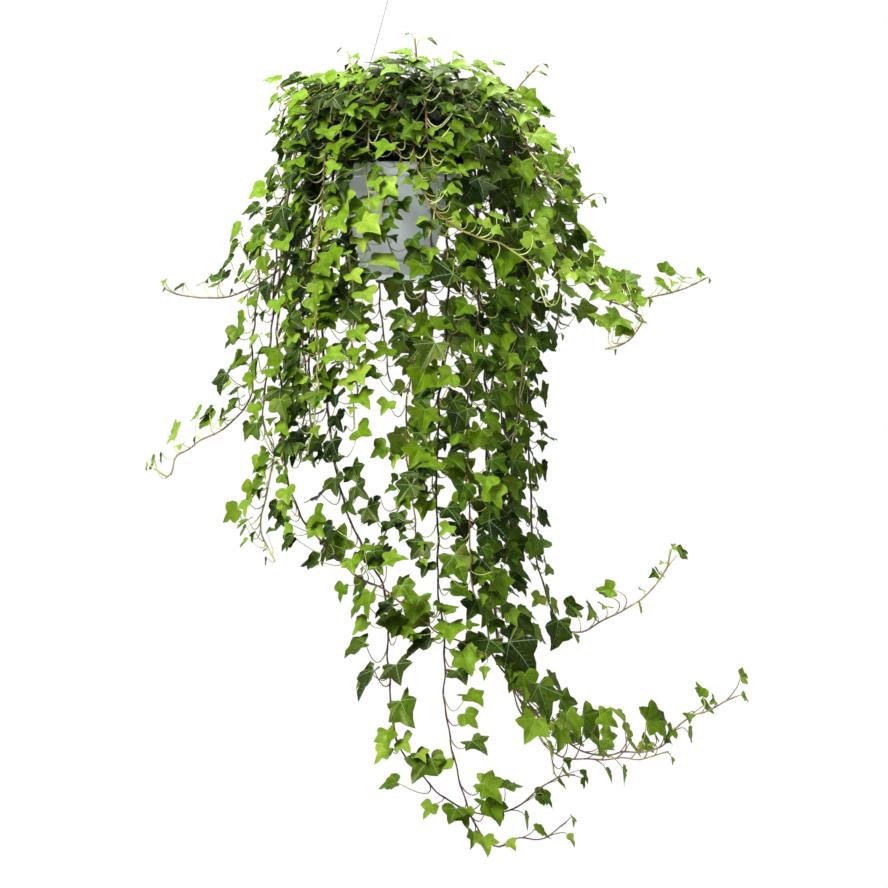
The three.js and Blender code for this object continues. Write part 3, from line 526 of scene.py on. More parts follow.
# Each route starts at its hole in the soil. "leaves" is the number of its large leaves, "large" the width
# of the largest, and "age" runs from 0 for pale young growth to 1 for old dark growth. Of the finer leaves,
# "fill" is the width where it differs, "gap" how far apart they grow, and "tip" the share of the width that
# is left at the stem's tip. They are sparser below "sparse_below". "sway" bends their stalks to the right,
# and "forward" turns their faces to the front. "bark" is the age of the stem's own skin where it differs.
VINES = {
    # Left curtain, and the long spray at the far left
    "stem_left_spray": dict(hole=(-38, -8), large=30, leaves=8, age=0.45, fill=36, tip=0.9, bark=0.6,
        route=[(-70, -14, -228), (-108, -20, -226), (-132, -26, -268), (-136, -30, -315), (-166, -32, -368),
        (-169, -33, -415), (-176, -35, -496), (-180, -36, -566), (-200, -38, -596), (-246, -40, -628),
        (-271, -41, -644), (-281, -42, -668), (-298, -43, -658)]),
    "stem_left_cluster": dict(hole=(-36, -17), large=38, leaves=9, age=0.5, gap=9, route=[(-60, -31, -232),
        (-96, -48, -226), (-126, -56, -268), (-134, -58, -320), (-145, -60, -392), (-151, -60, -485),
        (-161, -60, -598), (-148, -60, -638), (-158, -60, -690), (-164, -60, -735), (-148, -62, -772)]),
    "stem_left_reach": dict(hole=(-55, 10), large=24, leaves=4, age=0.4, fill=36, bark=0.6,
        route=[(-72, 14, -255), (-97, 20, -268), (-116, 22, -320), (-132, 16, -380), (-150, 10, -412),
        (-198, 4, -439), (-238, 0, -446), (-268, -2, -441), (-285, -4, -434)]),
    "stem_left_crossing": dict(hole=(-32, -23), large=38, leaves=10, age=0.65, gap=10,
        route=[(-56, -42, -224), (-88, -64, -222), (-118, -84, -268), (-130, -92, -330), (-140, -96, -450),
        (-138, -97, -584), (-132, -98, -651), (-118, -98, -706), (-84, -98, -751), (-44, -98, -788),
        (-14, -98, -802), (21, -98, -832), (54, -97, -856), (82, -96, -868), (112, -95, -886)]),
    "stem_left_long": dict(hole=(-42, -37), large=40, leaves=12, age=0.7, gap=9, sparse_below=-700,
        sway=0.5, route=[(-54, -50, -254), (-70, -66, -270), (-78, -72, -330), (-88, -74, -440),
        (-84, -70, -560), (-68, -62, -680), (-49, -60, -735), (-26, -60, -781), (-12, -60, -805),
        (-10, -60, -871), (-8, -60, -909), (4, -60, -996), (30, -58, -1030), (54, -56, -1056),
        (92, -54, -1079), (118, -52, -1083), (150, -50, -1076), (191, -48, -1042), (221, -46, -1034)]),
    "stem_left_curtain": dict(hole=(-25, -31), large=36, leaves=7, age=0.5, gap=9, tip=0.8,
        route=[(-42, -54, -224), (-66, -82, -224), (-82, -104, -268), (-86, -112, -330), (-96, -116, -430),
        (-92, -114, -540), (-102, -110, -640)]),
    "stem_left_inner": dict(hole=(-53, -18), large=34, leaves=6, age=0.6, gap=9, tip=0.8,
        route=[(-70, -24, -254), (-93, -30, -272), (-98, -34, -330), (-106, -36, -440), (-108, -40, -560),
        (-118, -42, -650)]),
    "stem_left_rear": dict(hole=(-35, 20), large=38, leaves=6, age=0.6, gap=10, tip=0.8,
        route=[(-60, 34, -226), (-94, 56, -224), (-114, 66, -268), (-120, 70, -340), (-122, 70, -450),
        (-112, 62, -580), (-98, 54, -650)]),
    # Front of the pot: few leaves, so that the pot shows
    "stem_front_pale": dict(hole=(-27, -49), large=24, leaves=5, age=0.2, fill=40, gap=9,
        route=[(-34, -64, -256), (-50, -84, -272), (-64, -94, -318), (-56, -98, -400), (-48, -98, -450),
        (-54, -94, -530), (-48, -90, -610)]),
    "stem_front_across": dict(hole=(8, -40), large=26, leaves=6, age=0.45, fill=34, route=[(12, -66, -238),
        (20, -104, -252), (30, -128, -304), (44, -140, -344), (74, -142, -367), (104, -140, -380),
        (134, -136, -390), (169, -130, -424), (184, -126, -462)]),
    "stem_front_low": dict(hole=(20, -52), large=34, leaves=8, age=0.6, route=[(26, -68, -256),
        (34, -88, -270), (42, -98, -325), (42, -100, -420), (26, -96, -500), (14, -90, -600),
        (20, -86, -690), (32, -84, -770)]),
    # Dense column below the right half of the pot
    "stem_column_long": dict(hole=(34, -44), large=42, leaves=14, age=0.68, sparse_below=-760,
        route=[(44, -57, -254), (58, -74, -272), (63, -80, -330), (66, -84, -430), (56, -82, -560),
        (50, -76, -660), (52, -72, -730), (54, -70, -792), (56, -70, -846), (61, -70, -905),
        (60, -70, -946), (68, -70, -990), (80, -70, -1040), (97, -70, -1090), (124, -70, -1120),
        (154, -70, -1110), (178, -70, -1109), (211, -70, -1090)]),
    "stem_column_front": dict(hole=(29, -27), large=42, leaves=9, age=0.66, route=[(48, -46, -226),
        (74, -72, -224), (94, -92, -268), (98, -98, -340), (100, -102, -450), (88, -104, -600),
        (90, -102, -720), (96, -100, -810)]),
    "stem_low_right": dict(hole=(34, -21), large=42, leaves=13, age=0.62, gap=10, forward=1.4,
        route=[(58, -36, -226), (88, -56, -224), (112, -68, -268), (118, -72, -340), (124, -74, -450),
        (116, -70, -600), (108, -62, -750), (116, -54, -872), (164, -48, -946), (215, -46, -996),
        (238, -46, -1010), (291, -48, -1006), (321, -50, -1001), (362, -52, -965), (399, -54, -948),
        (419, -56, -936)]),
    "stem_column_right": dict(hole=(24, -10), large=38, leaves=7, age=0.55, route=[(46, -24, -212),
        (84, -44, -196), (124, -60, -210), (146, -64, -256), (156, -68, -330), (162, -70, -420),
        (156, -68, -530), (144, -64, -630)]),
    "stem_low_twin": dict(hole=(55, -12), large=40, leaves=11, age=0.58, gap=11, route=[(72, -16, -254),
        (94, -20, -272), (100, -22, -330), (106, -24, -440), (114, -26, -600), (117, -27, -760),
        (128, -26, -870), (160, -24, -958), (198, -22, -1012), (228, -20, -1019), (281, -20, -1020),
        (339, -22, -1011)]),
    "stem_low_middle": dict(hole=(40, 4), large=40, leaves=10, age=0.6, route=[(70, 6, -228),
        (106, 8, -226), (130, 10, -270), (136, 10, -340), (140, 9, -450), (130, 6, -600), (122, 2, -740),
        (125, 0, -840), (137, -2, -906), (164, -2, -972), (189, -3, -1003), (198, -4, -1040)]),
    "stem_low_reach": dict(hole=(25, 8), large=36, leaves=10, age=0.5, fill=38, sway=-0.6, bark=0.6,
        forward=1.8, route=[(50, 14, -206), (88, 24, -190), (126, 34, -206), (148, 38, -256),
        (160, 38, -330), (166, 36, -440), (167, 30, -570), (169, 24, -700), (182, 16, -800),
        (204, 12, -852), (226, 10, -862), (256, 8, -850), (300, 4, -826), (329, 0, -798), (341, -2, -776),
        (343, -2, -758)]),
    "stem_turning_back": dict(hole=(48, 27), large=36, leaves=6, age=0.6, route=[(64, 35, -254),
        (84, 46, -272), (88, 46, -340), (84, 40, -430), (64, 18, -520), (40, -16, -612), (12, -36, -686),
        (-16, -40, -743), (-34, -40, -778)]),
    # Sprays at the right of the pot
    "spray_right_upper": dict(hole=(30, -4), large=24, leaves=5, age=0.25, fill=30, **SPRAY,
        route=[(58, -10, -200), (104, -24, -188), (150, -38, -212), (180, -44, -276), (196, -46, -318),
        (221, -46, -332), (246, -44, -318)]),
    "spray_right_turned_up": dict(hole=(16, -22), large=26, leaves=5, age=0.2, fill=38, gap=10, **SPRAY,
        route=[(38, -38, -198), (82, -62, -180), (130, -80, -204), (158, -86, -258), (180, -90, -300),
        (200, -92, -302), (208, -92, -268)]),
    "spray_right_hook": dict(hole=(39, -13), large=24, leaves=6, age=0.25, fill=42, gap=8, tip=0.9,
        sway=-0.8, **SPRAY, route=[(68, -24, -230), (108, -38, -230), (150, -48, -268), (178, -54, -330),
        (200, -60, -390), (218, -62, -416), (254, -66, -444), (282, -68, -460), (302, -68, -474),
        (290, -68, -496), (259, -66, -512)]),
    "spray_right_long": dict(hole=(30, 18), large=28, leaves=7, age=0.3, fill=38, gap=9, **SPRAY,
        route=[(58, 24, -226), (100, 24, -214), (150, 20, -246), (186, 16, -306), (212, 12, -380),
        (232, 10, -422), (275, 10, -450), (306, 10, -448), (329, 10, -440), (362, 10, -434),
        (389, 10, -419)]),
    "spray_right_rear": dict(hole=(22, 24), large=30, leaves=6, age=0.3, fill=44, gap=8, tip=0.8, **SPRAY,
        route=[(48, 42, -214), (92, 60, -200), (140, 66, -222), (176, 62, -290), (194, 56, -370),
        (206, 52, -430), (200, 48, -490)]),
    # Rear of the pot
    "stem_rear_column": dict(hole=(16, 52), large=38, leaves=7, age=0.6, route=[(20, 68, -254),
        (28, 92, -272), (34, 98, -340), (36, 98, -450), (42, 84, -600), (48, 72, -700)]),
    "stem_rear_right": dict(hole=(32, 33), large=38, leaves=7, age=0.6, route=[(52, 58, -226),
        (80, 84, -224), (98, 100, -268), (104, 104, -340), (106, 100, -450), (94, 84, -600),
        (86, 70, -710)]),
    "stem_rear_middle": dict(hole=(-6, 39), large=38, leaves=6, age=0.55, route=[(-12, 68, -226),
        (-18, 106, -224), (-24, 126, -268), (-26, 132, -340), (-22, 128, -440), (-10, 116, -550)]),
    "stem_rear_left": dict(hole=(-33, 44), large=38, leaves=6, age=0.6, route=[(-42, 58, -254),
        (-56, 78, -272), (-62, 84, -340), (-62, 84, -450), (-50, 76, -570)]),
    # Sprigs that stand up out of the mound
    "sprig_top_right": dict(hole=(4, -19), large=20, leaves=4, age=0.35, fill=28, tip=0.9, bark=0.6,
        forward=1.8, route=[(12, -26, -222), (34, -38, -176), (80, -54, -164), (120, -64, -184),
        (142, -64, -200), (156, -58, -184), (176, -56, -162)]),
    "sprig_top_middle": dict(hole=(10, -27), large=22, leaves=4, age=0.3, fill=28, tip=0.9, bark=0.6,
        route=[(14, -40, -230), (26, -50, -180), (26, -56, -150), (24, -60, -130)]),
    "sprig_top_left": dict(hole=(-26, -1), large=24, leaves=4, age=0.3, fill=30, tip=0.9,
        route=[(-32, -14, -230), (-46, -27, -186), (-56, -34, -156), (-60, -38, -142)]),
    "sprig_far_left": dict(hole=(-28, 9), large=24, leaves=5, age=0.3, fill=34, tip=0.9, bark=0.6,
        forward=1.8, route=[(-50, 12, -214), (-92, 10, -192), (-124, -4, -196), (-142, -10, -184)]),
}
# Stems of the mound arch over to all sides. Each has its direction in degrees from the right, how far out
# it starts and ends, how far it hangs, and its age.
MOUND = [
    (254, 8, 115, 80, 0.42), (169, 10, 135, 55, 0.3), (199, 18, 150, 35, 0.55), (220, 11, 110, 15, 0.35),
    (238, 19, 125, 75, 0.4), (268, 15, 105, 60, 0.5), (288, 11, 130, 60, 0.45), (312, 17, 140, 45, 0.6),
    (3, 15, 170, 45, 0.5), (38, 17, 150, 50, 0.55), (85, 16, 130, 80, 0.5), (115, 9, 140, 70, 0.5),
    (140, 18, 125, 60, 0.45),
]
MOUND_TOP, MOUND_LARGE, MOUND_LEAVES, MOUND_GAP = -186, 40, 5, 9
TIP_WIDTH = 0.4
# Thin young runners go on from three of them in front of the pot.
RUNNERS = {
    "stem_mound_01": [(-34, -114, -300), (-30, -110, -332), (-36, -104, -364), (-30, -100, -396)],
    "stem_mound_06": [(8, -110, -278), (6, -108, -298), (-10, -103, -322), (-16, -98, -350),
                      (-10, -94, -378), (2, -92, -402)],
    "stem_mound_07": [(46, -128, -286), (52, -124, -318), (48, -118, -350), (54, -112, -380)],
}
for number, (turn, start, reach, fall, age) in enumerate(MOUND, 1):
    turn = math.radians(turn)
    arch = [(start + 6, -38), (0.42 * reach, 0), (0.7 * reach, -4), (0.93 * reach, -8 - 0.4 * fall),
            (reach, -12 - fall)]
    name = f"stem_mound_{number:02d}"
    VINES[name] = dict(
        hole=(start * math.cos(turn), start * math.sin(turn)), large=MOUND_LARGE, leaves=MOUND_LEAVES,
        gap=MOUND_GAP, tip=0.9 if name in RUNNERS else TIP_WIDTH, age=age,
        route=[(r * math.cos(turn), r * math.sin(turn), MOUND_TOP + z) for r, z in arch])

STEM_R, STEM_TIP_R = 1.4, 0.8
STEM_STEP = 6
WAVER, WAVER_LENGTH, WAVER_APART = 4, 28, 40
WAVER_NONE_ABOVE, WAVER_FULL_BELOW = -310, -340
LINE_PARTS = 200
SPARSE_STEP, DENSE_STEP, LONG_STEM = 44, 30, 450


def even_points(points, steps):
    """Points at even steps of length along the smooth line through points, and that line's length."""
    shares = np.linspace(0, 1, LINE_PARTS + 1)
    run = np.cumsum(np.linalg.norm(np.diff(on_route(points, shares), axis=0, prepend=[points[0]]), axis=1))
    return on_route(points, np.interp(np.linspace(0, run[-1], steps + 1), run, shares)), run[-1]


for name, vine in VINES.items():
    x, y = vine["hole"]
    points = [(x, y, STEM_FOOT), (x * STEM_LEAN, y * STEM_LEAN, STEM_FOOT + STEM_RISE), *vine["route"]]
    length = even_points(points, 1)[1]
    steps = math.floor(length / (SPARSE_STEP if length > LONG_STEM else DENSE_STEP) + 0.5)
    vine["rings"], vine["ring_gap"] = even_points(points, steps)[0], length / steps
    points += RUNNERS.get(name, [])
    vine["length"] = even_points(points, 1)[1]
    line = even_points(points, math.ceil(vine["length"] / STEM_STEP))[0]
    turns = np.array([[noise.noise(Vector(p) / WAVER_LENGTH + Vector((0, WAVER_APART * axis, x)))
                       for axis in range(3)] for p in line])
    wavy = np.interp(line[:, 2:], (WAVER_FULL_BELOW, WAVER_NONE_ABOVE), (1, 0))
    vine["line"] = line + turns * WAVER * wavy

# Leaf blades
# Pittsburgh ivy has small leaves with three to five pointed lobes, the middle one longest. The blade is a
# thin waxy sheet, folded a little along its midrib, with a pale vein from the leaf stalk to each lobe tip.
# A form lists the right half for a leaf 1 wide, from its base up: the lobe tips and the notches between.
FORMS = {
    "five_lobed": dict(tips=[(0.36, -0.14), (0.5, 0.36), (0, 0.82)], notches=[(0.26, 0.1), (0.17, 0.4)]),
    "three_lobed": dict(tips=[(0.33, -0.1), (0.48, 0.34), (0, 0.84)], notches=[(0.4, 0.12), (0.16, 0.38)]),
    "young": dict(tips=[(0.44, 0.22), (0, 0.86)], notches=[(0.15, 0.36)]),
}
FIVE_LOBES_FROM, THREE_LOBES_FROM = 34, 23
FOLD, DROOP = 0.2, 0.2
SHAPES_EACH = 3
LOBE_BULGE, QUILT, MIDDLE_RING = 0.08, 0.025, 0.5
MASK = 0xFFFFFFFF


def draws(seed):
    """Even random numbers from 0 to 1, the same in each run."""
    state = seed & MASK

    def draw():
        nonlocal state
        state = (state + 0x6D2B79F5) & MASK
        t = (state ^ state >> 15) * (state | 1) & MASK
        t = (t + (t ^ t >> 7) * (t | 61) ^ t) & MASK
        return (t ^ t >> 14) / (MASK + 1)
    return draw


def blade_edge(tips, notches):
    """Right half of the outline, from the base to the middle tip, with swelling lobes."""
    corners = [tips[0]]
    for notch, tip in zip(notches, tips[1:]):
        corners += [notch, tip]
    edge = [tips[0] * 0.55 + Vector((0.02, -0.06)), tips[0]]
    for a, b in zip(corners, corners[1:]):
        way = b - a
        edge += [(a + b) / 2 + Vector((way.y, -way.x)) * LOBE_BULGE, b]
    return edge


def blade_mesh(name, form, seed):
    """One leaf blade 1 wide, a closed thin lens fanned out from its base, with the tip towards +Y. Its UV
    map holds the distance from the nearest main vein and the length along it."""
    draw = draws(seed)
    tips = [Vector(tip) * (0.94 + 0.12 * draw()) for tip in form["tips"]]
    notches = [Vector(notch) * (1.05 + 0.35 * draw()) for notch in form["notches"]]
    half = blade_edge(tips, notches)
    edge = half + [Vector((-p.x, p.y)) for p in reversed(half[:-1])]
    bow, curl, wave, phase = 0.16 * (draw() - 0.5), 0.08 + 0.16 * draw(), 0.03 + 0.03 * draw(), 6 * draw()
    made = bmesh.new()
    vein_map = made.loops.layers.uv.new("veins")
    underside = made.faces.layers.float.new("underside")
    base = made.verts.new((0, 0, 0))
    veins = {base: (0, 0)}
    rows = []
    for share in (MIDDLE_RING, 1):
        row = []
        for k, rim in enumerate(edge):
            x, y = rim * share
            reach = math.hypot(x, y)
            off, along = min((abs(abs(x) * tip.y - y * tip.x) / tip.length,
                              (abs(x) * tip.x + y * tip.y) / tip.length) for tip in tips)
            rise = FOLD * abs(x) - DROOP * y * y - curl * max(0, reach - 0.3) ** 2
            rise += QUILT * min(off, 0.12) / 0.12 + wave * share ** 3 * math.sin(2.6 * k + phase) * reach
            row.append(made.verts.new((x + bow * y * y, y, rise)))
            veins[row[-1]] = (off, along)
        rows.append(row)
    inner, outer = rows
    upper, lower = [], []
    for k in range(len(edge) - 1):
        upper += [(base, inner[k], inner[k + 1]), (inner[k], outer[k], outer[k + 1], inner[k + 1])]
        lower.append((base, outer[k + 1], outer[k]))
    lower[0] = (base, outer[1], outer[0], inner[0])
    lower[-1] = (base, inner[-1], outer[-1], outer[-2])
    for side, faces in enumerate((upper, lower)):
        for corners in faces:
            face = made.faces.new(corners)
            face[underside] = side
            for loop in face.loops:
                loop[vein_map].uv = veins[loop.vert]
    for rim in made.edges:
        rim.smooth = rim.link_faces[0][underside] == rim.link_faces[1][underside]
    mesh = bpy.data.meshes.new(name)
    made.to_mesh(mesh)
    made.free()
    return mesh


blade_forms = bpy.data.collections.new("blade forms")
for name, form in FORMS.items():
    for shape in range(SHAPES_EACH):
        title = f"{len(blade_forms.objects):02d}_{name}"
        blade = bpy.data.objects.new(title, blade_mesh(title, form, 40 + len(blade_forms.objects)))
        blade_forms.objects.link(blade)

# Leaf places
# Leaves stand off their stem to alternate sides on thin stalks, face out and up, and let their tips hang.
# The large ones of the frame come first, each at the draw that the frame's own node shows. Finer ones then
# fill in between them, wherever they meet no leaf, stem or pot.
CAD_BLADE, CAD_TRIES, CAD_SMALLER_FROM, ROOT_SHIFT = 0.7, 12, 6, 0.1
SAME_PLACE = 0.3
FIRST_RING = 2
FIRST_LEAF, NODE_GAP, ROOT_CLEAR, TIP_CLEAR, SPARSE = 30, 12, 4, 4, 1.6
FILL_TRIES, SHRINK, LONGEST_STALK = 14, 0.95, 34
LEVEL_LEAVES, LEVEL, FORWARD = 0.3, 1.1, 0.9
GROWN_FROM, FLAT_HEIGHTS, YOUNG_FLATNESS = 0.42, (-330, -210), 0.8
MIDDLE = 0.35
LOW_STEMS, UPRIGHT = -400, 1.5
ROD_R, ROD_TURNS, NEIGHBOUR_REACH = 1.6, (0, 2.1, 4.2), 0.62
HIGHEST_LEAF = -122
ARM_WINDOW = ((-46, -18), (-160, -5), (-165, -112))
ANY_DEPTH = (-200, 200)
# Rooms where few leaves grow: the share of them that stays, and the room's sides, front to rear and height.
THIN_ROOMS = [
    (0.12, (-4, 38), (-160, -40), (-378, -316)), (0.1, (-400, -60), ANY_DEPTH, (-172, -100)),
    (0.1, (56, 400), ANY_DEPTH, (-190, -100)), (0.12, (-400, -126), ANY_DEPTH, (-330, -172)),
    (0.2, (118, 400), ANY_DEPTH, (-270, -190)), (0.1, (-190, -136), ANY_DEPTH, (-668, -330)),
    (0.25, (155, 205), ANY_DEPTH, (-730, -500)), (0.25, (-45, 5), ANY_DEPTH, (-672, -572)),
    (0.15, (-145, -45), ANY_DEPTH, (-900, -772)), (0.3, (-60, 0), ANY_DEPTH, (-1040, -930)),
    (0.2, (5, 60), ANY_DEPTH, (-930, -870)), (0.1, (290, 420), ANY_DEPTH, (-540, -455)),
    (0.4, (300, 420), ANY_DEPTH, (-455, -400)),
]
LARGER_BELOW, LARGEST_BELOW, LOW_GROWTH = -780, -1000, 1.3


def unit(vector):
    return vector / np.linalg.norm(vector)


def draw_leaf(draw, root, along, side, large, stretch=1, forward=0, lift=0, push=(0, 0, 0)):
    """One way for a leaf to stand at a place on a stem, on side 1 or -1. A larger stretch gives it a longer
    stalk, forward turns it more to the front, lift lays it flatter, and push bends its stalk."""
    def spin():
        return 2 * draw() - 1
    # Leaves face away from the plant's upright axis, which moves to the right from the pot downwards. They
    # lie flat on top of the mound and hang below it.
    axis_x = 14 + 60 * min(1, max(0, (-420 - root[2]) / 500))
    out = unit(np.array((root[0] - axis_x, root[1], 0)))
    hang = min(1, max(0, (-200 - root[2]) / 100))
    size = large * (0.8 + 0.28 * draw())
    sideways = unit(np.cross(along, out)) * side
    reach = (size * (0.42 + 0.4 * draw()) + 4) * stretch
    arm = sideways * (0.8 + 0.3 * spin()) + out * (0.65 + 0.5 * spin())
    arm = arm + (0.3 * spin(), 0.3 * spin(), 0.55 - 0.35 * hang + 0.3 * spin())
    arm = unit(arm + along * 0.25 + push)
    face = out * (0.55 + 0.35 * hang) + (0, 0, 0.85 - 0.4 * hang)
    face = unit(face + (0.4 * spin(), 0.4 * spin() - forward * abs(out[0]), 0.3 * spin() + lift))
    fall = arm * 0.75 + (0.35 * spin(), 0.35 * spin(), -0.75 + 0.6 * lift)
    tip = unit(fall - face * (fall @ face))
    form = "five_lobed" if size > FIVE_LOBES_FROM else "three_lobed" if size > THREE_LOBES_FROM else "young"
    return dict(base=root + arm * reach, tip=tip, face=face, size=size, form=form, fits=tip @ arm > 0.1)


def blade_points(leaf, sink):
    """The lobe tips and notches of a leaf in their places, sunk below its upper face."""
    across = np.cross(leaf["tip"], leaf["face"])
    form = FORMS[leaf["form"]]
    right = [form["tips"][0]]
    for notch, tip in zip(form["notches"], form["tips"][1:]):
        right += [notch, tip]
    outline = right + [(-x, y) for x, y in reversed(right[:-1])]
    rises = [(FOLD * abs(x) - DROOP * y * y) * leaf["size"] - sink for x, y in outline]
    return [leaf["base"] + (across * x + leaf["tip"] * y) * leaf["size"] + leaf["face"] * rise
            for (x, y), rise in zip(outline, rises)]


def body_of_leaf(leaf):
    """A coarse fan over the leaf that tests what it meets."""
    points = [leaf["base"], *blade_points(leaf, CAD_BLADE / 2)]
    fans = [(0, i, i + 1) for i in range(1, len(points) - 1)]
    return BVHTree.FromPolygons([tuple(p) for p in points], fans)


def body_of_nodes(*names):
    """The shells of some of the frame's nodes, in millimetres."""
    points, faces = [], []
    for name in names:
        mesh = frame["nodes"][name].data
        faces += [[len(points) + i for i in face.vertices] for face in mesh.polygons]
        points += [tuple(vert.co / MM) for vert in mesh.vertices]
    return BVHTree.FromPolygons(points, faces)


def body_of_stems():
    """All stems as thin three-sided rods."""
    points, faces = [], []
    for vine in VINES.values():
        line = vine["line"]
        start = len(points)
        for place in line:
            points += [tuple(place + (ROD_R * math.cos(a), ROD_R * math.sin(a), 0)) for a in ROD_TURNS]
        for k in range(len(line) - 1):
            for i in range(3):
                a, b = start + 3 * k + i, start + 3 * k + (i + 1) % 3
                faces.append((a, b, b + 3, a + 3))
    return BVHTree.FromPolygons(points, faces)


def within(place, window):
    return all(low < p < high for p, (low, high) in zip(place, window))


def same_as_node(leaf, tree):
    """True if the frame's node has the tips of this leaf."""
    tips = blade_points(leaf, CAD_BLADE / 2)[::2]
    return all(tree.find(p)[2] < SAME_PLACE for p in tips[:1] + tips[len(tips) // 2:])


grown = []
bodies = []
fixed_bodies = [body_of_nodes("pot", "saucer", "hanger"), body_of_stems()]
low_limit, high_limit = (np.array(corner) / MM for corner in cad_box)


def middle_of(leaf):
    return leaf["base"] + leaf["tip"] * MIDDLE * leaf["size"]


def keep_leaf(name, leaf, root_at):
    leaf.update(vine=name, root_at=root_at, middle=middle_of(leaf))
    grown.append(leaf)
    bodies.append(body_of_leaf(leaf))


# The frame's leaves, with the seeds, places and sizes that its nodes were grown by
for index, (name, vine) in enumerate(VINES.items()):
    mesh = frame["nodes"][name].data
    tree = kdtree.KDTree(len(mesh.vertices))
    for i, vert in enumerate(mesh.vertices):
        tree.insert(vert.co / MM, i)
    tree.balance()
    rings = vine["rings"]
    last = len(rings) - 1
    every = max(1, (last - FIRST_RING) / vine["leaves"])
    place = last
    while place >= FIRST_RING:
        ring = math.floor(place + 0.5)
        place -= every
        before, after = rings[ring - 1], rings[min(ring + 1, last)]
        root = rings[ring] + (before - rings[ring]) * ROOT_SHIFT
        share = ring / last
        large = vine["large"] * (1 if share < 0.6 else 1 - 1.25 * (share - 0.6))
        for attempt in range(CAD_TRIES):
            draw = draws(index * 7919 + ring * 131 + attempt * 17 + 5)
            leaf = draw_leaf(draw, root, unit(after - before), 1 if ring % 2 else -1,
                             large * (1 if attempt < CAD_SMALLER_FROM else 0.8))
            if leaf["fits"] and same_as_node(leaf, tree):
                keep_leaf(name, leaf, (ring - ROOT_SHIFT) * vine["ring_gap"])
                break


def meets_something(leaf, body):
    """True if a leaf leaves the plant's room or cuts through another leaf, a stem or the pot."""
    points = np.array(blade_points(leaf, 0))
    if points[:, 2].max() > HIGHEST_LEAF or (points < low_limit).any() or (points > high_limit).any():
        return True
    if any(body.overlap(other) for other in fixed_bodies):
        return True
    near = np.linalg.norm(np.array([other["middle"] for other in grown]) - middle_of(leaf), axis=1)
    reach = (np.array([other["size"] for other in grown]) + leaf["size"]) * NEIGHBOUR_REACH
    return any(body.overlap(bodies[i]) for i in np.nonzero(near < reach)[0])


for index, (name, vine) in enumerate(VINES.items()):
    draw = draws(index * 977 + 31)
    line, length = vine["line"], vine["length"]
    taken = [leaf["root_at"] for leaf in grown if leaf["vine"] == name]
    place = FIRST_LEAF
    side = 1
    while place < length - TIP_CLEAR:
        share = place / length
        k = min(int(share * (len(line) - 1)), len(line) - 2)
        root = line[k]
        along = unit(line[k + 1] - line[k])
        growth = np.interp(root[2], (LARGEST_BELOW, LARGER_BELOW), (LOW_GROWTH, 1))
        step = vine.get("gap", NODE_GAP) * (0.6 + 0.9 * draw()) * growth
        if root[2] < vine.get("sparse_below", low_limit[2]):
            step *= SPARSE
        side = -side
        if all(abs(place - other) > ROOT_CLEAR for other in taken):
            large = vine.get("fill", vine["large"]) * (0.75 + 0.55 * draw() ** 2)
            large *= np.interp(share, (0.6, 0.88, 1), (1, 0.8, vine.get("tip", TIP_WIDTH))) * growth
            flatness = YOUNG_FLATNESS
            if vine["age"] > GROWN_FROM:
                flatness = np.interp(root[2], FLAT_HEIGHTS, (0.25, 1))
            if draw() < LEVEL_LEAVES:
                flatness = LEVEL
            push = (vine.get("sway", 0), 0, UPRIGHT * (1 - abs(along[2])) if root[2] < LOW_STEMS else 0)
            for attempt in range(FILL_TRIES):
                leaf = draw_leaf(
                    draw, root, along, side * (-1) ** (attempt // 3), large * SHRINK ** attempt,
                    stretch=(0.9 + 0.9 * draw()) * min(1, LONGEST_STALK / large),
                    forward=vine.get("forward", FORWARD) * draw(), lift=flatness * (0.2 + 1.3 * draw()),
                    push=push)
                if not leaf["fits"] or within(leaf["base"], ARM_WINDOW):
                    continue
                kept = min((kept for kept, *room in THIN_ROOMS if within(leaf["base"], room)), default=1)
                if draw() <= kept and not meets_something(leaf, body_of_leaf(leaf)):
                    keep_leaf(name, leaf, place)
                    break
        place += step

# Wood
# Stems are dark brown and woody at their feet, red brown further on and green at their tips. Each leaf has
# a thin round stalk, pale green to red brown, that starts at a small swelling of the stem.
STALK_R, STALK_PARTS, STALK_BACK, STALK_SUNK = 0.62, 6, 4, 0.3
SWELL, SWELL_REACH = 0.35, 4
WOOD_SIDES = 6
PALE_HEIGHTS = (-1000, -760)


def set_stops(ramp, stops):
    """Gives a colour ramp its colours, at places from 0 to 1."""
    for place, colour in stops.items():
        stop = ramp.elements[-place] if place in (0, 1) else ramp.elements.new(place)
        stop.color = linear(colour)


wood_tree, given, last = new_tree("stems and stalks", Sides="NodeSocketInt", Thickness="NodeSocketFloat",
                                  Material="NodeSocketMaterial")
lines = add(wood_tree, "GeometryNodeMeshToCurve", {"Mesh": given["Geometry"]})
girth = add(wood_tree, "GeometryNodeInputNamedAttribute", {"Name": "girth"})
thick = add(wood_tree, "ShaderNodeMath", {0: girth, 1: given["Thickness"]}, operation="MULTIPLY")
section = add(wood_tree, "GeometryNodeCurvePrimitiveCircle", {"Resolution": given["Sides"], "Radius": 1})
tubes = add(wood_tree, "GeometryNodeCurveToMesh",
            {"Curve": lines, "Profile Curve": section, "Scale": thick, "Fill Caps": True})
close_tree(wood_tree, last, tubes, given["Material"])

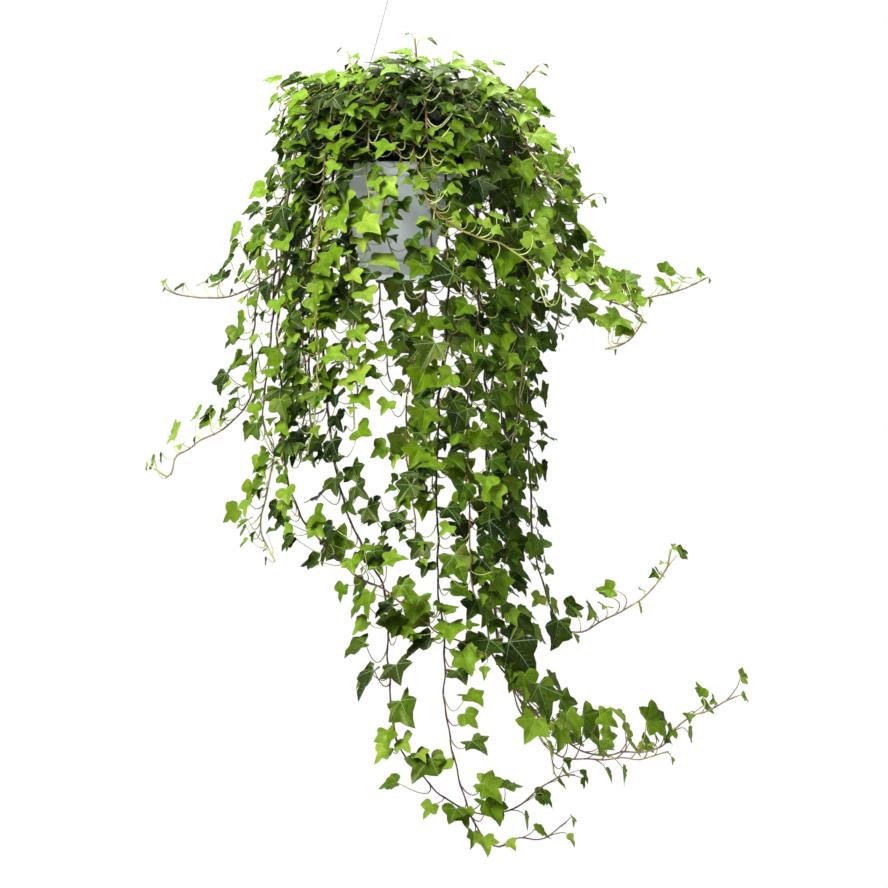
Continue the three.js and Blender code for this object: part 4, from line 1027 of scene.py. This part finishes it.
# Ivy bark: smooth green skin on young stems that turns to red brown and then to dull dark brown, in
# patches about 1 cm long, with a fine relief and little gloss.
bark, tree, shader = new_material("ivy bark")
place = add(tree, "ShaderNodeTexCoord").outputs["Object"]
aged = add(tree, "ShaderNodeAttribute", attribute_name="wood_age").outputs["Fac"]
patches = add(tree, "ShaderNodeTexNoise", {"Vector": place, "Scale": 90, "Detail": 4})
shift = add(tree, "ShaderNodeMapRange", {"Value": patches, "To Min": -0.22, "To Max": 0.22})
mixed = add(tree, "ShaderNodeMath", {0: aged, 1: shift}, operation="ADD")
tone = add(tree, "ShaderNodeValToRGB", {"Fac": mixed})
set_stops(tone.color_ramp, {0: "C9D08A", 0.25: "A3AC5C", 0.5: "7C6A3C", 0.72: "553624", 1: "241A14"})
bump = add(tree, "ShaderNodeBump", {"Height": patches, "Strength": 0.5, "Distance": 0.0006})
feed(shader, {"Base Color": tone, "Normal": bump, "Roughness": 0.6})

for index, (name, vine) in enumerate(VINES.items()):
    draw = draws(index * 53 + 11)
    line, length = vine["line"], vine["length"]
    own = [leaf for leaf in grown if leaf["vine"] == name]
    shares = np.linspace(0, 1, len(line))
    girths = STEM_R + (STEM_TIP_R - STEM_R) * shares
    # The skin is oldest at the foot and greener towards the tip, most so on a young stem.
    bark_age = vine.get("bark", vine["age"])
    ages = np.clip(bark_age * 1.35 + 0.2 - 0.9 * shares ** 2 * (1.25 - bark_age), 0.05, 1)
    for leaf in own:
        girths += SWELL * np.exp(-((shares * length - leaf["root_at"]) / SWELL_REACH) ** 2)
    verts, edges = list(line), [(k, k + 1) for k in range(len(line) - 1)]
    girths, ages = list(girths), list(ages)
    for leaf in own:
        before, start = (np.array([np.interp(leaf["root_at"] - back, shares * length, line[:, axis])
                                   for axis in range(3)]) for back in (STALK_BACK, 0))
        # A stalk first runs on along its stem, furthest where the stem hangs, and then bends to its blade.
        # It is thicker at its foot, and under a larger blade.
        end = leaf["base"] - leaf["face"] * STALK_SUNK
        way = (start - before) / STALK_BACK
        slack = (0.2 + 0.6 * abs(way[2])) * (0.5 + draw()) * np.linalg.norm(end - start)
        bow = start * 0.65 + end * 0.35 + way * slack
        first = len(verts)
        stalk_age = vine["age"] * (0.2 + 0.7 * draw()) + np.interp(start[2], PALE_HEIGHTS, (0.35, 0))
        for k in range(STALK_PARTS + 1):
            t = k / STALK_PARTS
            verts.append(start * (1 - t) ** 2 + bow * 2 * t * (1 - t) + end * t ** 2)
            girths.append(STALK_R * (1.25 - 0.5 * t) * (0.75 + leaf["size"] / 120))
            ages.append(max(0.02, stalk_age - 0.2 * t))
        edges += [(k, k + 1) for k in range(first, first + STALK_PARTS)]
    mesh = bpy.data.meshes.new(f"{name}_wood")
    mesh.from_pydata([tuple(v * MM) for v in verts], edges, [])
    for key, values in (("girth", np.array(girths) * MM), ("wood_age", ages)):
        mesh.attributes.new(key, "FLOAT", "POINT").data.foreach_set("value", np.array(values, np.float32))
    wood = stand(f"{name}_wood", mesh)
    grown_by(wood, wood_tree, Sides=WOOD_SIDES, Thickness=1.0, Material=bark)
    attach(wood, "root")
    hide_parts(name)
    vine["own"] = own

# Leaves
# The blades of each stem are one piece. Young leaves are bright yellow green, grown ones mid green, and
# old ones dark green with clear pale veins. Deep in the crown, above the pot, the leaves are painted darker
# as shade: their age is raised there. A leaf is as old as its stem, give or take a spread, and younger where
# it is small or hangs low. Near the plant's axis it is older and darker as painted shade, by its distance
# from the axis and its height, and it is never palest in the crown.
AGE_LATER, AGE_SPREAD, AGE_BY_SIZE = 0.1, 0.7, 0.45
CROWN_HEIGHTS, CROWN_SPREAD, CROWN_AGE = (-400, -280), 0.2, 0.32
# Painted shade: near the axis and between these heights, leaves get older and so darker colours.
INNER_SHADE_RADII, INNER_SHADE_HEIGHTS, INNER_SHADE_AGES = (70, 140), (-330, -290, -215, -180), (0, 0.6, 0.6, 0.1)

leaf_tree, given, last = new_tree("leaves", Forms="NodeSocketCollection", Size="NodeSocketFloat",
                                  Material="NodeSocketMaterial")
picks = add(leaf_tree, "GeometryNodeCollectionInfo",
            {"Collection": given["Forms"], "Separate Children": True, "Reset Children": True})
face, tip = (add(leaf_tree, "GeometryNodeInputNamedAttribute", {"Name": key}, data_type="FLOAT_VECTOR")
             for key in ("leaf_face", "leaf_tip"))
width = add(leaf_tree, "GeometryNodeInputNamedAttribute", {"Name": "leaf_size"})
shape = add(leaf_tree, "GeometryNodeInputNamedAttribute", {"Name": "leaf_shape"}, data_type="INT")
turn = add(leaf_tree, "FunctionNodeAxesToRotation", {0: face, 1: tip}, primary_axis="Z", secondary_axis="Y")
scale = add(leaf_tree, "ShaderNodeMath", {0: width, 1: given["Size"]}, operation="MULTIPLY")
blades = add(leaf_tree, "GeometryNodeInstanceOnPoints",
             {"Points": given["Geometry"], "Instance": picks, "Pick Instance": True,
              "Instance Index": shape, "Rotation": turn, "Scale": scale})
close_tree(leaf_tree, last, blades, given["Material"])

# Ivy leaf: a waxy blade with a soft gloss, pale veins that branch to the edge, and a duller underside. The
# vein map gives the distance from the nearest main vein and the length along it.
ivy_leaf, tree, shader = new_material("ivy leaf")
place = add(tree, "ShaderNodeTexCoord").outputs["Object"]
aged, tinted, under = (add(tree, "ShaderNodeAttribute", attribute_name=key).outputs["Fac"]
                       for key in ("leaf_age", "leaf_tint", "underside"))
vein_map = add(tree, "ShaderNodeUVMap", uv_map="veins")
off, along, _ = add(tree, "ShaderNodeSeparateXYZ", {0: vein_map}).outputs
softly = {"interpolation_type": "SMOOTHSTEP"}

# Main veins are narrower towards the tips. Side veins leave them at a slant, 4 mm apart on a large leaf.
width = add(tree, "ShaderNodeMath", {0: along, 1: -0.011, 2: 0.014}, operation="MULTIPLY_ADD")
inside = add(tree, "ShaderNodeMath", {0: off, 1: width}, operation="DIVIDE")
main_vein = add(tree, "ShaderNodeMapRange",
                {"Value": inside, "From Min": 0.3, "From Max": 1.3, "To Min": 1, "To Max": 0}, **softly)
slant = add(tree, "ShaderNodeMath", {0: along, 1: 9}, operation="MULTIPLY")
slant = add(tree, "ShaderNodeMath", {0: off, 1: -6.5, 2: slant}, operation="MULTIPLY_ADD")
between_veins = add(tree, "ShaderNodeMath", {0: slant, 1: 0.5}, operation="PINGPONG")
branch = add(tree, "ShaderNodeMapRange", {"Value": between_veins, "From Min": 0.39, "From Max": 0.48},
             **softly)
fading = add(tree, "ShaderNodeMapRange", {"Value": off, "From Min": 0.16, "From Max": 0.02, "To Max": 0.35},
             **softly)
side_vein = add(tree, "ShaderNodeMath", {0: branch, 1: fading}, operation="MULTIPLY")
vein = add(tree, "ShaderNodeMath", {0: main_vein, 1: side_vein}, operation="MAXIMUM")

# The green of the blade goes by its age, which deep in the crown also holds painted shade, in mottles 1 cm
# wide, with a brown tint on some leaves. The veins are clearest on old ones, and the underside is duller.
mottle = add(tree, "ShaderNodeTexNoise", {"Vector": place, "Scale": 110, "Detail": 5})
patchy = add(tree, "ShaderNodeMapRange",
             {"Value": mottle, "From Min": 0.25, "From Max": 0.75, "To Min": -0.12, "To Max": 0.12}, **softly)
shifted_age = add(tree, "ShaderNodeMath", {0: aged, 1: patchy}, operation="ADD")
green = add(tree, "ShaderNodeValToRGB", {"Fac": shifted_age})
set_stops(green.color_ramp,
          {0: "90A836", 0.2: "74962A", 0.45: "547405", 0.7: "2F4B08", 0.85: "1D310A", 1: "101D08"})
pale = add(tree, "ShaderNodeValToRGB", {"Fac": aged})
set_stops(pale.color_ramp, {0: "B7CC5A", 0.5: "7E9F3E", 1: "7FA173"})
tint = add(tree, "ShaderNodeMath", {0: tinted, 1: 0.3}, operation="MULTIPLY")
blade_colour = add(tree, "ShaderNodeMix", {0: tint, 6: green, 7: linear("4E5A12")}, data_type="RGBA")
clear = add(tree, "ShaderNodeMapRange",
            {"Value": aged, "From Min": 0.2, "From Max": 0.9, "To Min": 0.3, "To Max": 0.65}, **softly)
clear = add(tree, "ShaderNodeMath", {0: vein, 1: clear}, operation="MULTIPLY")
veined = add(tree, "ShaderNodeMix", {0: clear, 6: blade_colour, 7: pale}, data_type="RGBA")
dull = add(tree, "ShaderNodeMix", {0: 0.4, 6: blade_colour, 7: linear("6B8022")}, data_type="RGBA")
ribs = add(tree, "ShaderNodeMath", {0: main_vein, 1: 0.5}, operation="MULTIPLY")
dull = add(tree, "ShaderNodeMix", {0: ribs, 6: dull, 7: linear("9BAC58")}, data_type="RGBA")
tone = add(tree, "ShaderNodeMix", {0: under, 6: veined, 7: dull}, data_type="RGBA")

# The upper face is waxier than the underside. Veins are sunk, and cells break up the gloss. They are 2 mm
# wide, coarser than the real ones, so that they show.
waxy = add(tree, "ShaderNodeMapRange",
           {"Value": mottle, "From Min": 0.3, "From Max": 0.7, "To Min": 0.3, "To Max": 0.42}, **softly)
rough = add(tree, "ShaderNodeMath", {0: under, 1: 0.2, 2: waxy}, operation="MULTIPLY_ADD")
cells = add(tree, "ShaderNodeTexVoronoi", {"Vector": place, "Scale": 520}, feature="DISTANCE_TO_EDGE")
cells = add(tree, "ShaderNodeMath", {0: cells, 1: 0.6}, operation="MULTIPLY")
height = add(tree, "ShaderNodeMath", {0: vein, 1: -1.2, 2: cells}, operation="MULTIPLY_ADD")
bump = add(tree, "ShaderNodeBump", {"Height": height, "Strength": 0.6, "Distance": 0.0004})
feed(shader, {"Base Color": tone, "Roughness": rough, "Normal": bump, "Specular IOR Level": 0.25,
              "Specular Tint": linear("E6F08C")})

form_names = list(FORMS)
for index, (name, vine) in enumerate(VINES.items()):
    draw = draws(index * 31 + 7)
    own = vine["own"]
    rows = {f"leaf_{key}": [] for key in ("face", "tip", "size", "shape", "age", "tint")}
    for leaf in own:
        rows["leaf_face"] += list(leaf["face"])
        rows["leaf_tip"] += list(leaf["tip"])
        rows["leaf_size"].append(leaf["size"] * MM)
        rows["leaf_shape"].append(form_names.index(leaf["form"]) * SHAPES_EACH + int(draw() * SHAPES_EACH))
        smaller = 1 - leaf["size"] / vine.get("fill", vine["large"])
        x, y, z = leaf["middle"]
        # Painted shade of the dense crown, added to the leaf's age so that its colour is darker.
        inner = np.interp(math.hypot(x, y), INNER_SHADE_RADII, (1, 0)) * np.interp(z, INNER_SHADE_HEIGHTS, INNER_SHADE_AGES)
        low = np.interp(z, PALE_HEIGHTS, (0.3, 0))
        high = np.interp(z, CROWN_HEIGHTS, (0, 1))
        age = vine["age"] + AGE_LATER + (AGE_SPREAD + CROWN_SPREAD * high) * (draw() - 0.5)
        age += inner - low - AGE_BY_SIZE * smaller
        rows["leaf_age"].append(min(1, max(CROWN_AGE * high, age)))
        rows["leaf_tint"].append(min(1, draw() ** 2 + 2 * low))
    mesh = bpy.data.meshes.new(f"{name}_leaves")
    mesh.from_pydata([tuple(leaf["base"] * MM) for leaf in own], [], [])
    for key, values in rows.items():
        kind = "FLOAT_VECTOR" if len(values) > len(own) else "INT" if key == "leaf_shape" else "FLOAT"
        layer = mesh.attributes.new(key, kind, "POINT")
        layer.data.foreach_set("vector" if kind == "FLOAT_VECTOR" else "value", values)
    leaves = stand(f"{name}_leaves", mesh)
    grown_by(leaves, leaf_tree, Forms=blade_forms, Size=1.0, Material=ivy_leaf)
    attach(leaves, "root")
    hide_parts(name)
for blade in list(blade_forms.objects):
    bpy.data.objects.remove(blade)
bpy.data.collections.remove(blade_forms)
